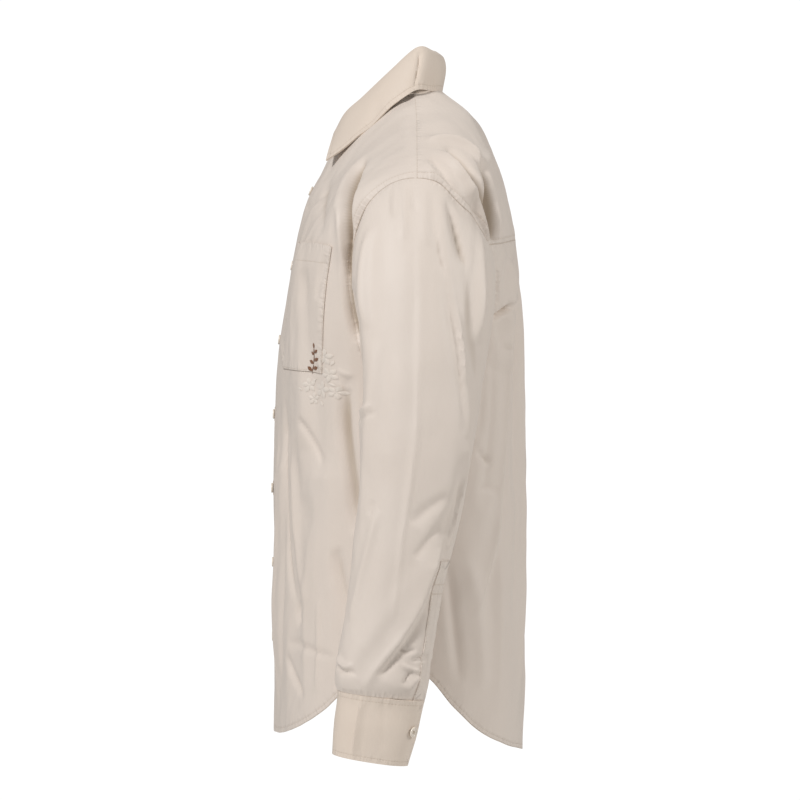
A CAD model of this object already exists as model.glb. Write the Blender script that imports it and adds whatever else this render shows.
# %% [markdown]
# # A button-up shirt, filled out with no wearer inside
# A shirt is flat cloth sewn into tubes: two fronts, a back, a yoke across the shoulders, two
# sleeves, cuffs and a collar. Worn, the cloth takes the form of the body and hangs in soft folds.
# This lesson starts from the plain walls of the part and gives each piece its folds, its seams
# and its cloth. The wearer faces -Y, the wearer's left is +X, and the origin is at the neck.

# %% Load the frame
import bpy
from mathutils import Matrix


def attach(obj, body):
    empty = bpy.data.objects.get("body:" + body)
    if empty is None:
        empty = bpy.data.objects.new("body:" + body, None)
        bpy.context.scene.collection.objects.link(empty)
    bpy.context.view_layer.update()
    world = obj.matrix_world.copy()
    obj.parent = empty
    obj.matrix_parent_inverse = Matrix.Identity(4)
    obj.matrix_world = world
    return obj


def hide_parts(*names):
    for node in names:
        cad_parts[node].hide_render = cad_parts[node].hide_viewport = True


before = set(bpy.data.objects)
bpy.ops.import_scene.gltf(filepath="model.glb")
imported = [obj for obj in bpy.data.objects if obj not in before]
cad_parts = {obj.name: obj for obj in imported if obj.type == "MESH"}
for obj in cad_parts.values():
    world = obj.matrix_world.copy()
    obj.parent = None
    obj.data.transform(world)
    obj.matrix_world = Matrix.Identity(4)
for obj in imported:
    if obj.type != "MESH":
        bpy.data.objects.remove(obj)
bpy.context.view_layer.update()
print("nodes in the frame:", len(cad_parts))

# %% Modules and sizes
import math

import bmesh
import bpy
import mathutils
import numpy as np

WALL = 0.0012
COLLAR_WALL = 0.0018
CUFF_WALL = 0.0016
SEAM_GAP = 0.0003
QUARTER = math.pi / 2


def add_object(name, data):
    """A new object in the scene, made of a mesh, a lamp or a camera."""
    item = bpy.data.objects.new(name, data)
    bpy.context.scene.collection.objects.link(item)
    return item


def mesh_from(maker, name):
    """The finished mesh of a bmesh."""
    mesh = bpy.data.meshes.new(name)
    maker.to_mesh(mesh)
    maker.free()
    return mesh


def unit(vectors):
    """The vectors at length one."""
    return vectors / np.linalg.norm(vectors, axis=-1, keepdims=True)


print("cloth wall in mm:", WALL * 1000)

# %% [markdown]
# The camera comes first, so that every try is seen as the photograph shows the shirt: from the
# wearer's left, level with the chest, through a long lens that hardly narrows what is far away.

# %% Camera
camera_data = bpy.data.cameras.new("side_camera")
camera_data.lens = 137
camera = add_object("side_camera", camera_data)
camera.location = (3.5, -0.00575, -0.345)
camera.rotation_euler = (math.radians(90), 0, math.radians(90))
bpy.context.scene.camera = camera
print("camera at", tuple(round(value, 3) for value in camera.location))

# %% [markdown]
# A studio picture of pale cloth needs much soft light and a little direction. A white world
# fills every shadow. One lamp, high up and towards the wearer's front, gives the folds their
# light side, and a weaker one behind the back draws the edge of the yoke.

# %% World and lamps
bpy.context.scene.view_settings.view_transform = "Standard"
world = bpy.data.worlds.new("white_studio")
world.use_nodes = True
sky = world.node_tree
fill = sky.nodes["Background"]
backdrop = sky.nodes.new("ShaderNodeBackground")
seen_straight = sky.nodes.new("ShaderNodeLightPath")
either = sky.nodes.new("ShaderNodeMixShader")
for background, colour, strength in ((fill, (1.0, 0.965, 0.925, 1.0), 0.31),
                                     (backdrop, (1.0, 1.0, 1.0, 1.0), 1.05)):
    background.inputs["Color"].default_value = colour
    background.inputs["Strength"].default_value = strength
sky.links.new(seen_straight.outputs["Is Camera Ray"], either.inputs["Fac"])
sky.links.new(fill.outputs["Background"], either.inputs[1])
sky.links.new(backdrop.outputs["Background"], either.inputs[2])
sky.links.new(either.outputs["Shader"], sky.nodes["World Output"].inputs["Surface"])
bpy.context.scene.world = world


def add_lamp(name, place, aim, size, power, colour=(1.0, 1.0, 1.0)):
    lamp_data = bpy.data.lights.new(name, "AREA")
    lamp_data.shape = "DISK"
    lamp_data.size = size
    lamp_data.energy = power
    lamp_data.color = colour
    lamp = add_object(name, lamp_data)
    lamp.location = place
    way = mathutils.Vector(aim) - mathutils.Vector(place)
    lamp.rotation_euler = way.to_track_quat("-Z", "Y").to_euler()


add_lamp("key_lamp", (2.32, -1.60, 1.58), (0.1, 0.0, -0.35), 0.7, 70.0, (1.0, 0.985, 0.98))
add_lamp("back_lamp", (0.6, 2.6, 0.8), (0.1, 0.0, -0.3), 1.0, 31.0, (1.0, 0.98, 0.955))
print("lamps:", len(bpy.data.lights))

# %% [markdown]
# The cloth pieces share one form, the body, so that their edges meet. It is read from a short
# table of levels, from below the hem up to the neck, with a smooth curve between the rows. A
# class reads a table by its column names. The same numbers made the plain walls of the frame.

# %% Tables that are read smoothly
def hermite(start, end, leave, arrive, part):
    """A smooth curve from start to end that leaves and arrives in given directions."""
    ease = part * part * (3 - 2 * part)
    out = part * (1 - part) ** 2
    back = part * part * (part - 1)
    return start * (1 - ease) + end * ease + leave * out + arrive * back


class Table:
    """Rows of a name and numbers in named columns, read smoothly between rows."""

    def __init__(self, columns, rows):
        self.columns = columns.split()[1:]
        self.values = np.array([row[1:] for row in rows], float)
        self.keys = self.values[:, 0]
        self.slopes = np.gradient(self.values, self.keys, axis=0)

    def column(self, name):
        return self.values[:, self.columns.index(name)]

    def at(self, key):
        key = np.clip(np.asarray(key, float), self.keys[0], self.keys[-1])
        row = np.clip(np.searchsorted(self.keys, key, side="right") - 1, 0, len(self.keys) - 2)
        span = (self.keys[row + 1] - self.keys[row])[..., None]
        part = (key - self.keys[row])[..., None] / span
        start, end = self.values[row], self.values[row + 1]
        leave, arrive = self.slopes[row] * span, self.slopes[row + 1] * span
        read = hermite(start, end, leave, arrive, part)
        return {name: read[..., index] for index, name in enumerate(self.columns)}


print("smooth middle of 0 and 1:", hermite(0.0, 1.0, 0.0, 0.0, 0.5))

# %% Levels of the body and the height of the hem
LEVELS = Table(
    "name level side_x side_y side_z front_y front_z back_y back_z square ridge roof",
    [
        ("below the hem", 0, 0.205, -0.020, -0.790, -0.149, -0.790, 0.1360, -0.790, 2.5, 2.0, 0.10),
        ("hip", 1, 0.205, -0.015, -0.680, -0.149, -0.680, 0.1365, -0.680, 2.5, 2.0, 0.10),
        ("waist", 2, 0.203, -0.006, -0.565, -0.149, -0.565, 0.1370, -0.565, 2.5, 2.0, 0.12),
        ("ribs", 3, 0.203, 0.004, -0.450, -0.148, -0.450, 0.1352, -0.450, 2.8, 2.0, 0.16),
        ("underarm", 4, 0.206, 0.012, -0.342, -0.147, -0.345, 0.1335, -0.345, 3.3, 2.0, 0.19),
        ("low armhole", 5, 0.214, 0.012, -0.262, -0.144, -0.300, 0.1320, -0.280, 3.4, 2.0, 0.19),
        ("high armhole", 6, 0.229, 0.012, -0.180, -0.137, -0.246, 0.1300, -0.212, 3.0, 2.2, 0.13),
        ("shoulder point", 7, 0.245, 0.012, -0.108, -0.1275, -0.194, 0.1240, -0.146, 2.6, 2.4,
         0.10),
        ("mid shoulder", 8, 0.188, 0.012, -0.066, -0.1190, -0.152, 0.1090, -0.084, 2.5, 3.0, 0.05),
        ("near the neck", 9, 0.126, 0.012, -0.034, -0.1090, -0.115, 0.0840, -0.0285, 2.3, 3.4, 0.0),
        ("neck", 10, 0.075, 0.010, 0.000, -0.0905, -0.074, 0.0400, 0.011, 2.1, 2.5, 0.0),
    ],
)
UNDERARM_LEVEL = 4.0
SHOULDER_LEVEL = 7.0
NECK_LEVEL = 10.0
BACK_ROOF = 0.5
ROOF_ROUND = 0.1

HEM = Table(
    "name degrees height",
    [
        ("front middle", 0, -0.723),
        ("front tail", 24, -0.717),
        ("front tail side", 40, -0.705),
        ("front curve", 56, -0.682),
        ("front rise", 66, -0.661),
        ("side seam", 90, -0.635),
        ("back rise", 105, -0.646),
        ("back curve", 117, -0.680),
        ("back curve end", 129, -0.708),
        ("back tail side", 141, -0.724),
        ("back tail", 158, -0.736),
        ("back middle", 180, -0.746),
    ],
)
print("rows in the two tables:", len(LEVELS.keys), len(HEM.keys))

# %% [markdown]
# A point of the body is found from its angle round the neck's axis and its level. Each level is
# a ring between an oval and a box. Its front and back lean away towards the neck. The normal of
# any such surface comes from its neighbours, by a cross product.

# %% Plain body
def body_base(angle, level):
    """Points of the plain body: angle 0 is the front, a quarter is the side."""
    row = LEVELS.at(level)
    across = np.abs(np.sin(angle))
    along = np.abs(np.cos(angle))
    reach = (across ** row["square"] + along ** row["square"]) ** (-1 / row["square"])
    is_front = np.cos(angle) > 0
    end_y = np.where(is_front, row["front_y"], row["back_y"])
    end_z = np.where(is_front, row["front_z"], row["back_z"])
    roof = np.where(is_front, row["roof"], row["roof"] * BACK_ROOF)
    slope = np.sqrt((reach * across) ** 2 + ROOF_ROUND ** 2) - ROOF_ROUND
    fall = 1.0 - slope / (math.sqrt(1 + ROOF_ROUND ** 2) - ROOF_ROUND)
    x = row["side_x"] * reach * np.sin(angle)
    y = row["side_y"] + (end_y - row["side_y"]) * ((1 - roof) * reach * along + roof * fall)
    z = end_z + (row["side_z"] - end_z) * across ** row["ridge"]
    return np.stack([x, y, z], axis=-1)


def surface_normal(surface, first, second, steps):
    """Unit normals of a surface of two numbers, from its neighbours."""
    along = surface(first + steps[0], second) - surface(first - steps[0], second)
    across = surface(first, second + steps[1]) - surface(first, second - steps[1])
    normal = np.cross(along, across)
    return normal / np.maximum(np.linalg.norm(normal, axis=-1, keepdims=True), 1e-12)


print("chest point:", np.round(body_base(np.array(0.0), np.array(4.0)), 3))

# %% [markdown]
# The largest folds are part of the walls already. Each is a path of three points with a width
# and a height, and the surface is pushed out by a soft bell across the path.

# %% Largest folds
FRONT_FADE = (0.0, 0.05)
BACK_FADE = (0.02, 0.07)
BACK_TOP_FADE = (-0.165, -0.185)
YOKE_FADE = (-0.19, -0.17)
FOLD_END_FADE = 6
BODY_BASE_STEPS = (0.004, 0.02)
BODY_STEPS = (0.006, 0.03)
FOLDS = [
    ("front hollow at the arm", "front",
     (0.15, -0.2), (0.162, -0.3), (0.168, -0.43), 0.016, -0.006),
    ("front drape from the yoke", "front",
     (0.12, -0.16), (0.15, -0.27), (0.14, -0.4), 0.02, 0.0035),
    ("front low diagonal", "front", (0.08, -0.37), (0.115, -0.42), (0.155, -0.5), 0.016, -0.003),
    ("front long fold", "front", (0.135, -0.45), (0.13, -0.55), (0.125, -0.69), 0.015, -0.0035),
    ("front inner fold", "front", (0.065, -0.4), (0.055, -0.52), (0.06, -0.66), 0.018, 0.003),
    ("back side pleat", "back", (0.112, -0.178), (0.106, -0.3), (0.112, -0.46), 0.014, -0.006),
    ("back bulge by the pleat", "back",
     (0.135, -0.19), (0.145, -0.235), (0.15, -0.29), 0.018, 0.0065),
    ("back crease under the bulge", "back",
     (0.118, -0.235), (0.15, -0.268), (0.18, -0.28), 0.014, -0.0045),
    ("back long fold", "back", (0.15, -0.3), (0.15, -0.45), (0.165, -0.6), 0.016, -0.005),
    ("back inner fold", "back", (0.06, -0.22), (0.052, -0.42), (0.07, -0.68), 0.02, 0.004),
    ("back middle hollow", "back", (0.018, -0.2), (0.01, -0.4), (0.02, -0.66), 0.018, -0.003),
    ("yoke ridge", "yoke", (0.225, 0.045), (0.2, 0.07), (0.165, 0.1), 0.015, 0.0032),
    ("yoke drape", "yoke", (0.228, 0.075), (0.205, 0.098), (0.18, 0.116), 0.014, -0.0042),
]


def path_distance(a, b, start, middle, end):
    """Distance to a path of two straight runs, and the part of it that is nearest."""
    best = np.full(np.shape(a), np.inf)
    part = np.zeros(np.shape(a))
    for index, (p, q) in enumerate(((start, middle), (middle, end))):
        run = np.array(q) - np.array(p)
        along = ((a - p[0]) * run[0] + (b - p[1]) * run[1]) / (run @ run)
        along = np.clip(along, 0, 1)
        gap = np.hypot(a - p[0] - along * run[0], b - p[1] - along * run[1])
        nearer = gap < best
        best = np.where(nearer, gap, best)
        part = np.where(nearer, (index + along) / 2, part)
    return best, part


def smooth_step(low, high, value):
    """0 at low, 1 at high, and an even start and end between them."""
    part = np.clip((value - low) / (high - low), 0, 1)
    return part * part * (3 - 2 * part)


def body_relief(point):
    """How far the folds lift a body point off the plain surface."""
    x, y, z = point[..., 0], point[..., 1], point[..., 2]
    lift = np.zeros(np.shape(x))
    for _, face, start, middle, end, width, height in FOLDS:
        across = np.abs(x)
        up = y if face == "yoke" else z
        gap, part = path_distance(across, up, start, middle, end)
        bump = height * np.exp(-((gap / width) ** 2)) * (1 - (2 * part - 1) ** FOLD_END_FADE)
        if face == "front":
            bump = bump * smooth_step(*FRONT_FADE, -y)
        if face == "back":
            bump = bump * smooth_step(*BACK_FADE, y) * smooth_step(*BACK_TOP_FADE, z)
        if face == "yoke":
            bump = bump * smooth_step(*YOKE_FADE, z)
        lift = lift + bump
    return lift


def body_surface(angle, level):
    """The body with its folds."""
    base = body_base(angle, level)
    normal = surface_normal(body_base, angle, level, BODY_BASE_STEPS)
    return base + normal * body_relief(base)[..., None]


def body_normal(angle, level):
    return surface_normal(body_surface, angle, level, BODY_STEPS)


print("large folds:", len(FOLDS))

# %% [markdown]
# Seams run over the body: the armhole is known from the side, and the yoke seam from the back.
# Newton's method finds the angle and level of each of their points, and a class then reads the
# seam by its length.

# %% Points and seams on the body
FIND_TRIES = 60
FIND_STEP = 1e-4
MOST_TURN = 0.1
MOST_RISE = 0.3
SEAM_SAMPLES = 801
SEAM_WRAP = 3
YOKE_SEAM_POINTS = 9


def find_on_body(first, second, axes, angle, level):
    """Angle and level of the body point whose two given coordinates match."""
    for _ in range(FIND_TRIES):
        here = body_base(angle, level)[..., axes]
        by_angle = (body_base(angle + FIND_STEP, level)[..., axes] - here) / FIND_STEP
        by_level = (body_base(angle, level + FIND_STEP)[..., axes] - here) / FIND_STEP
        miss_a, miss_b = first - here[..., 0], second - here[..., 1]
        size = by_angle[..., 0] * by_level[..., 1] - by_angle[..., 1] * by_level[..., 0]
        turn = (miss_a * by_level[..., 1] - miss_b * by_level[..., 0]) / size
        rise = (miss_b * by_angle[..., 0] - miss_a * by_angle[..., 1]) / size
        angle = angle + np.clip(turn, -MOST_TURN, MOST_TURN)
        level = level + np.clip(rise, -MOST_RISE, MOST_RISE)
    return angle, level


class Seam:
    """A seam on the body: a smooth line through angles and levels, read by length."""

    def __init__(self, angles, levels, closed=False):
        angles, levels = np.array(angles, float), np.array(levels, float)
        if closed:
            count = len(angles)
            wrap = np.arange(-SEAM_WRAP, count + SEAM_WRAP + 1) % count
            angles, levels = angles[wrap], levels[wrap]
        points = body_base(angles, levels)
        steps = np.linalg.norm(np.diff(points, axis=0), axis=1)
        at = np.concatenate([[0.0], np.cumsum(steps)])
        line = Table("name at angle level", list(zip(at, at, angles, levels)))
        first, last = at[0], at[-1]
        if closed:
            first, last = at[SEAM_WRAP], at[SEAM_WRAP + count]
        fine = line.at(np.linspace(first, last, SEAM_SAMPLES))
        self.angle, self.level = fine["angle"], fine["level"]
        points = body_base(self.angle, self.level)
        steps = np.linalg.norm(np.diff(points, axis=0), axis=1)
        self.length = np.concatenate([[0.0], np.cumsum(steps)])
        self.length = self.length / self.length[-1]
        self.points = points

    def at(self, part):
        return np.stack([np.interp(part, self.length, self.angle),
                         np.interp(part, self.length, self.level)], axis=-1)


def level_of_height(height):
    """Level of a height on the lower body, where the rings are level."""
    levels = np.linspace(0, UNDERARM_LEVEL, SEAM_SAMPLES)
    heights = LEVELS.at(levels)["side_z"]
    return np.interp(height, heights, levels)


print("hem level at the side:", round(float(level_of_height(-0.635)), 2))

# %% Armhole and yoke seam
ARMHOLE = [
    ("front low", -0.030, -0.312),
    ("front inner", -0.050, -0.262),
    ("front deep", -0.0575, -0.212),
    ("front high", -0.0530, -0.166),
    ("front shoulder", -0.0385, -0.1335),
    ("front top", -0.0200, -0.1165),
    ("back top", 0.0335, -0.1120),
    ("back shoulder", 0.0540, -0.1310),
    ("back high", 0.0800, -0.1560),
    ("back deep", 0.0955, -0.1900),
    ("back inner", 0.0930, -0.2450),
    ("back low", 0.0640, -0.3080),
]
FRONT_ARMHOLE_POINTS = 6
FRONT_ARM_ANGLE = 1.2
YOKE_SIDE_Z = -0.177
YOKE_MIDDLE_Z = -0.163


def make_armhole():
    """The armhole of the left side, from the underarm up the front and back down."""
    y = np.array([row[1] for row in ARMHOLE])
    z = np.array([row[2] for row in ARMHOLE])
    front = np.arange(len(y)) < FRONT_ARMHOLE_POINTS
    angle = np.where(front, FRONT_ARM_ANGLE, math.pi - FRONT_ARM_ANGLE)
    level = np.interp(z, LEVELS.column("side_z"), LEVELS.keys)
    angle, level = find_on_body(y, z, [1, 2], angle, level)
    angles = [QUARTER, *angle[:FRONT_ARMHOLE_POINTS], QUARTER, *angle[FRONT_ARMHOLE_POINTS:]]
    levels = [UNDERARM_LEVEL, *level[:FRONT_ARMHOLE_POINTS], SHOULDER_LEVEL,
              *level[FRONT_ARMHOLE_POINTS:]]
    return Seam(angles, levels, closed=True)


ARMHOLE_SEAM = make_armhole()


def armhole_parts():
    """Lengths along the armhole at the shoulder point and at the back yoke seam."""
    z = ARMHOLE_SEAM.points[:, 2]
    top = np.argmin(np.abs(ARMHOLE_SEAM.level - SHOULDER_LEVEL)
                    + np.abs(ARMHOLE_SEAM.angle - QUARTER))
    after = np.arange(len(z)) > top
    yoke = np.argmin(np.where(after, np.abs(z - YOKE_SIDE_Z), np.inf))
    return ARMHOLE_SEAM.length[top], ARMHOLE_SEAM.length[yoke]


SHOULDER_PART, YOKE_PART = armhole_parts()


def yoke_seam():
    """Angles and levels of the back yoke seam, from the middle to the armhole."""
    middle_level = np.interp(YOKE_MIDDLE_Z, LEVELS.column("back_z"), LEVELS.keys)
    side = ARMHOLE_SEAM.at(YOKE_PART)
    parts = np.linspace(0, 1, YOKE_SEAM_POINTS)
    angle, level = find_on_body(parts * body_base(side[0], side[1])[0],
                                YOKE_MIDDLE_Z + (YOKE_SIDE_Z - YOKE_MIDDLE_Z) * parts ** 2,
                                [0, 2], math.pi - parts * (math.pi - side[0]),
                                middle_level + (side[1] - middle_level) * parts)
    angle[-1], level[-1] = side
    return Seam(angle, level)


YOKE_SEAM = yoke_seam()
print("shoulder and yoke along the armhole:", round(SHOULDER_PART, 3), round(YOKE_PART, 3))

# %% [markdown]
# A panel is a patch between its four seams. Two numbers, u across and v up, place every point
# of its grid, and the bend of each seam fades towards the other side.

# %% Patches between seams
FRONT_COLUMNS = 16
NECK_COLUMNS = 5
SIDE_ROWS = 14
FRONT_ARMHOLE_ROWS = 14
BACK_ARMHOLE_ROWS = 10
YOKE_ROWS = 4
HALF_BACK_COLUMNS = 11
HALF_LAP = 0.017
OPEN_LEVELS = (8.9, 10.0)
OPEN_HALF = 0.013
FRONT_TOP_HOLD = 5.0
BACK_TOP_HOLD = 2.0
YOKE_TOP_HOLD = 1.6


def front_edge_x(level):
    """How far the front edge lies past the middle: it opens above the first button."""
    return -HALF_LAP + (HALF_LAP + OPEN_HALF) * smooth_step(*OPEN_LEVELS, level)


def edge_angle(level):
    return np.arcsin(front_edge_x(level) / LEVELS.at(level)["side_x"])


def pair(angle, level):
    angle, level = np.broadcast_arrays(np.asarray(angle, float), np.asarray(level, float))
    return np.stack([angle, level], axis=-1)


def patch_between(bottom, top, left, right, u, v, top_hold):
    """Angles and levels between four seams. The bend of the top seam fades below it."""
    u1, v1 = u[..., None], v[..., None]
    zero, one = np.zeros(1), np.ones(1)
    level_row = left(v) + (right(v) - left(v)) * u1
    bottom_bend = bottom(u) - (bottom(zero) + (bottom(one) - bottom(zero)) * u1)
    top_bend = top(u) - (top(zero) + (top(one) - top(zero)) * u1)
    return level_row + bottom_bend * (1 - v1) + top_bend * v1 ** top_hold


def rise_with_armhole(v, start_level, end_level, side_share):
    """Level up an edge, so that its rows match the side seam and the armhole."""
    low = start_level + (UNDERARM_LEVEL - start_level) * v / side_share
    high = UNDERARM_LEVEL + (end_level - UNDERARM_LEVEL) * (v - side_share) / (1 - side_share)
    return np.where(v < side_share, low, high)


def hem_level(angle):
    return level_of_height(HEM.at(np.abs(np.degrees(angle)))["height"])


print("front edge past the middle in mm:", round(float(front_edge_x(np.array(3.0))) * 1000, 1))

# %% Patch of a front
def front_patch(u, v):
    """Angle and level of the left front: u from its edge to the side, v up."""
    side_share = SIDE_ROWS / (SIDE_ROWS + FRONT_ARMHOLE_ROWS)
    neck_share = NECK_COLUMNS / FRONT_COLUMNS

    def bottom(u):
        start = edge_angle(hem_level(np.array(0.0)))
        angle = start + (QUARTER - start) * u
        return pair(angle, hem_level(angle))

    def top(u):
        start = edge_angle(np.array(NECK_LEVEL))
        angle = np.minimum(start + (QUARTER - start) * u / neck_share, QUARTER)
        fall = np.clip((u - neck_share) / (1 - neck_share), 0, 1)
        return pair(angle, NECK_LEVEL + (SHOULDER_LEVEL - NECK_LEVEL) * fall)

    def left(v):
        level = rise_with_armhole(v, hem_level(np.array(0.0)), NECK_LEVEL, side_share)
        return pair(edge_angle(level), level)

    def right(v):
        level = rise_with_armhole(v, hem_level(np.array(QUARTER)), SHOULDER_LEVEL, side_share)
        up = np.clip((v - side_share) / (1 - side_share), 0, 1)
        arm = ARMHOLE_SEAM.at(SHOULDER_PART * up)
        return np.where((v < side_share)[..., None], pair(QUARTER, level), arm)

    return patch_between(bottom, top, left, right, u, v, FRONT_TOP_HOLD)


print("shoulder corner of the front:", front_patch(np.ones(1), np.ones(1)).round(2).tolist())

# %% Patches of the back and the yoke
def back_patch(u, v):
    """Angle and level of half the back: u from the middle to the side, v up."""
    side_share = SIDE_ROWS / (SIDE_ROWS + BACK_ARMHOLE_ROWS)
    top_level = YOKE_SEAM.at(np.array(0.0))[1]

    def bottom(u):
        angle = math.pi - QUARTER * u
        return pair(angle, hem_level(angle))

    def left(v):
        level = rise_with_armhole(v, hem_level(np.array(math.pi)), top_level, side_share)
        return pair(math.pi, level)

    def right(v):
        level = rise_with_armhole(v, hem_level(np.array(QUARTER)), SHOULDER_LEVEL, side_share)
        up = np.clip((v - side_share) / (1 - side_share), 0, 1)
        arm = ARMHOLE_SEAM.at(1 - (1 - YOKE_PART) * up)
        return np.where((v < side_share)[..., None], pair(QUARTER, level), arm)

    return patch_between(bottom, YOKE_SEAM.at, left, right, u, v, BACK_TOP_HOLD)


def yoke_patch(u, v):
    """Angle and level of half the yoke: u from the middle to the side, v up."""
    neck_share = NECK_COLUMNS / HALF_BACK_COLUMNS
    low_level = YOKE_SEAM.at(np.array(0.0))[1]

    def top(u):
        angle = np.maximum(math.pi - QUARTER * u / neck_share, QUARTER)
        fall = np.clip((u - neck_share) / (1 - neck_share), 0, 1)
        return pair(angle, NECK_LEVEL + (SHOULDER_LEVEL - NECK_LEVEL) * fall)

    def left(v):
        return pair(math.pi, low_level + (NECK_LEVEL - low_level) * v)

    def right(v):
        return ARMHOLE_SEAM.at(YOKE_PART - (YOKE_PART - SHOULDER_PART) * v)

    return patch_between(YOKE_SEAM.at, top, left, right, u, v, YOKE_TOP_HOLD)


def halves(patch):
    """A piece over both sides of the back, from a patch of one side."""
    def place(u, v):
        spot = patch(np.abs(2 * u - 1), v)
        turn = np.where(u < 0.5, -1.0, 1.0)
        return pair(spot[..., 0] * turn, spot[..., 1])
    return place


print("middle of the yoke seam:", back_patch(np.zeros(1), np.ones(1)).round(2).tolist())

# %% [markdown]
# The smaller folds decide whether cloth looks like cloth. Each is drawn where the eye sees it,
# as a line in the side, front or back view, and laid on the piece below. Across the line the
# cloth rises or sinks like a tent with a rounded ridge, steeper on one side than on the other,
# because real folds lean. A table of such lines is easy to change after each look.

# %% Lines drawn on cloth
VIEWS = {
    "side": ((1.0, 0.0, 0.0), (1, 2)),
    "inner": ((-1.0, 0.0, 0.0), (1, 2)),
    "front": ((0.0, -1.0, 0.0), (0, 2)),
    "back": ((0.0, 1.0, 0.0), (0, 2)),
}
LINE_POINTS = 22
NEAR_POINTS = 10
LEAST_FACING = 0.42


def smooth_path(path):
    """A smooth line of many points through a few drawn ones."""
    drawn = np.array(path, float)
    keys = np.arange(len(drawn))
    rows = [("point", key, *point) for key, point in zip(keys, drawn)]
    read = Table("name at first second", rows).at(np.linspace(0, keys[-1], LINE_POINTS))
    return np.stack([read["first"], read["second"]], axis=-1)


def line_on(points, outward, view, path):
    """The drawn line, laid on the cloth that faces the view, and how much that cloth faces it."""
    facing, axes = VIEWS[view]
    share = outward @ np.array(facing)
    seen, share = points[share > 0.05], share[share > 0.05]
    drawn = smooth_path(path)
    gap = np.linalg.norm(drawn[:, None] - seen[None][..., axes], axis=-1)
    near = np.argpartition(gap, NEAR_POINTS, axis=1)[:, :NEAR_POINTS]
    weight = 1 / (np.take_along_axis(gap, near, axis=1) + 0.0005) ** 2
    line = (seen[near] * weight[..., None]).sum(axis=1) / weight.sum(axis=1)[:, None]
    line[1:-1] = (line[:-2] + line[1:-1] * 2 + line[2:]) / 4
    return line, np.clip(share[near].mean(axis=1), LEAST_FACING, 1)


def nearest_on_line(points, line):
    """Distance to a line in space, the length along it, and the way from it to the point."""
    best = np.full(len(points), np.inf)
    along = np.zeros(len(points))
    way, run_there = np.zeros((len(points), 3)), np.zeros((len(points), 3))
    walked = 0.0
    for start, end in zip(line[:-1], line[1:]):
        run = end - start
        length = max(np.linalg.norm(run), 1e-9)
        part = np.clip((points - start) @ run / length ** 2, 0, 1)
        off = points - start - part[:, None] * run
        gap = np.linalg.norm(off, axis=1)
        nearer = gap < best
        best[nearer] = gap[nearer]
        along[nearer] = walked + part[nearer] * length
        way[nearer] = off[nearer]
        run_there[nearer] = run / length
        walked += length
    return best, along, way, run_there, walked


def read_creases(text):
    """Rows of: name, view, points in tenths of a mm, left, right and crest in mm, height in mm.

    Left and right are the widths to the two sides of the line, and the crest's number is the
    roundness of its ridge."""
    creases = []
    for row in text.replace("\n    ", " ").strip().split("\n"):
        name, view, path, widths, height = row.split(" | ")
        points = [tuple(int(number) / 10000 for number in point.split())
                  for point in path.split(", ")]
        creases.append((name, view, points, *map(float, widths.split()), float(height)))
    return creases


print("views that folds are drawn in:", sorted(VIEWS))

# %% Lift of the folds
def fold_lift(points, outward, ridge):
    """How far one laid fold lifts each point. A trough has a height below zero.

    Widths are as the view shows them, so on cloth that slopes away they grow."""
    (line, facing), left, right, crest, height = ridge
    gap, along, way, run, length = nearest_on_line(points, line)
    on_left = np.einsum("ij,ij->i", np.cross(run, way), outward) > 0
    stretch = 1 / np.interp(along / length, np.linspace(0, 1, len(facing)), facing)
    width = np.where(on_left, left, right) / 1000 * stretch
    height = height * stretch ** 0.5
    round_off = crest / 1000
    slope = (np.sqrt(gap ** 2 + round_off ** 2) - round_off) / width
    end_fade = 1 - (2 * along / length - 1) ** 4
    return height / 1000 * np.clip(1 - slope, 0, 1) ** 2 * end_fade


def soft_waves(points, size, seed, upright=0.4):
    """Uneven waves of about a size, longer up and down than across."""
    chance = np.random.default_rng(seed)
    total = np.zeros(len(points))
    for _ in range(16):
        way = chance.normal(size=3) * (1.0, 1.0, upright) * math.tau / size / 1.6
        total += np.sin(points @ way + chance.uniform(0, math.tau))
    return total / 4


def with_waves(lift, points, seed, waves):
    """A lift with uneven waves added, from rows of size, height and a step of the seed."""
    for size, height, step in waves:
        lift = lift + soft_waves(points, size, seed + step) * height
    return lift


print("a wave at the neck:", soft_waves(np.zeros((1, 3)), 0.05, 1).round(2))

# %% [markdown]
# A piece of cloth starts as a flat grid. Every point is placed on the body and pushed along its
# normal by the folds, and a Solidify modifier gives the wall its thickness. The piece keeps a UV
# map in metres for the weave, and four attributes for the seams: how far a point is from the
# seam, how far along it, and where its two rows of stitches lie. One more attribute marks the
# deep hollows, which the material darkens.

# %% Cloth from a grid
SEAM_NAMES = ("seam_1", "seam_2", "seam_3", "seam_4")
NO_SEAM = (1.0, 0.0, 0.0, 0.0)
HOLLOW_START = 0.0042
HOLLOW_RANGE = 0.005


def grid_numbers(columns, rows):
    """The u and v of a grid's points, in the order in which the grid is made."""
    u, v = np.meshgrid(np.linspace(0, 1, columns + 1), np.linspace(0, 1, rows + 1))
    return u.ravel(), v.ravel()


def seam_values(points, seam):
    """Distance and length along a seam, with the places of its stitch rows."""
    line, first_row, second_row = seam
    gap, along, _, _, _ = nearest_on_line(points, np.asarray(line))
    rows = np.full((len(points), 2), (first_row, second_row))
    return np.column_stack([gap, along, rows])


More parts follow.
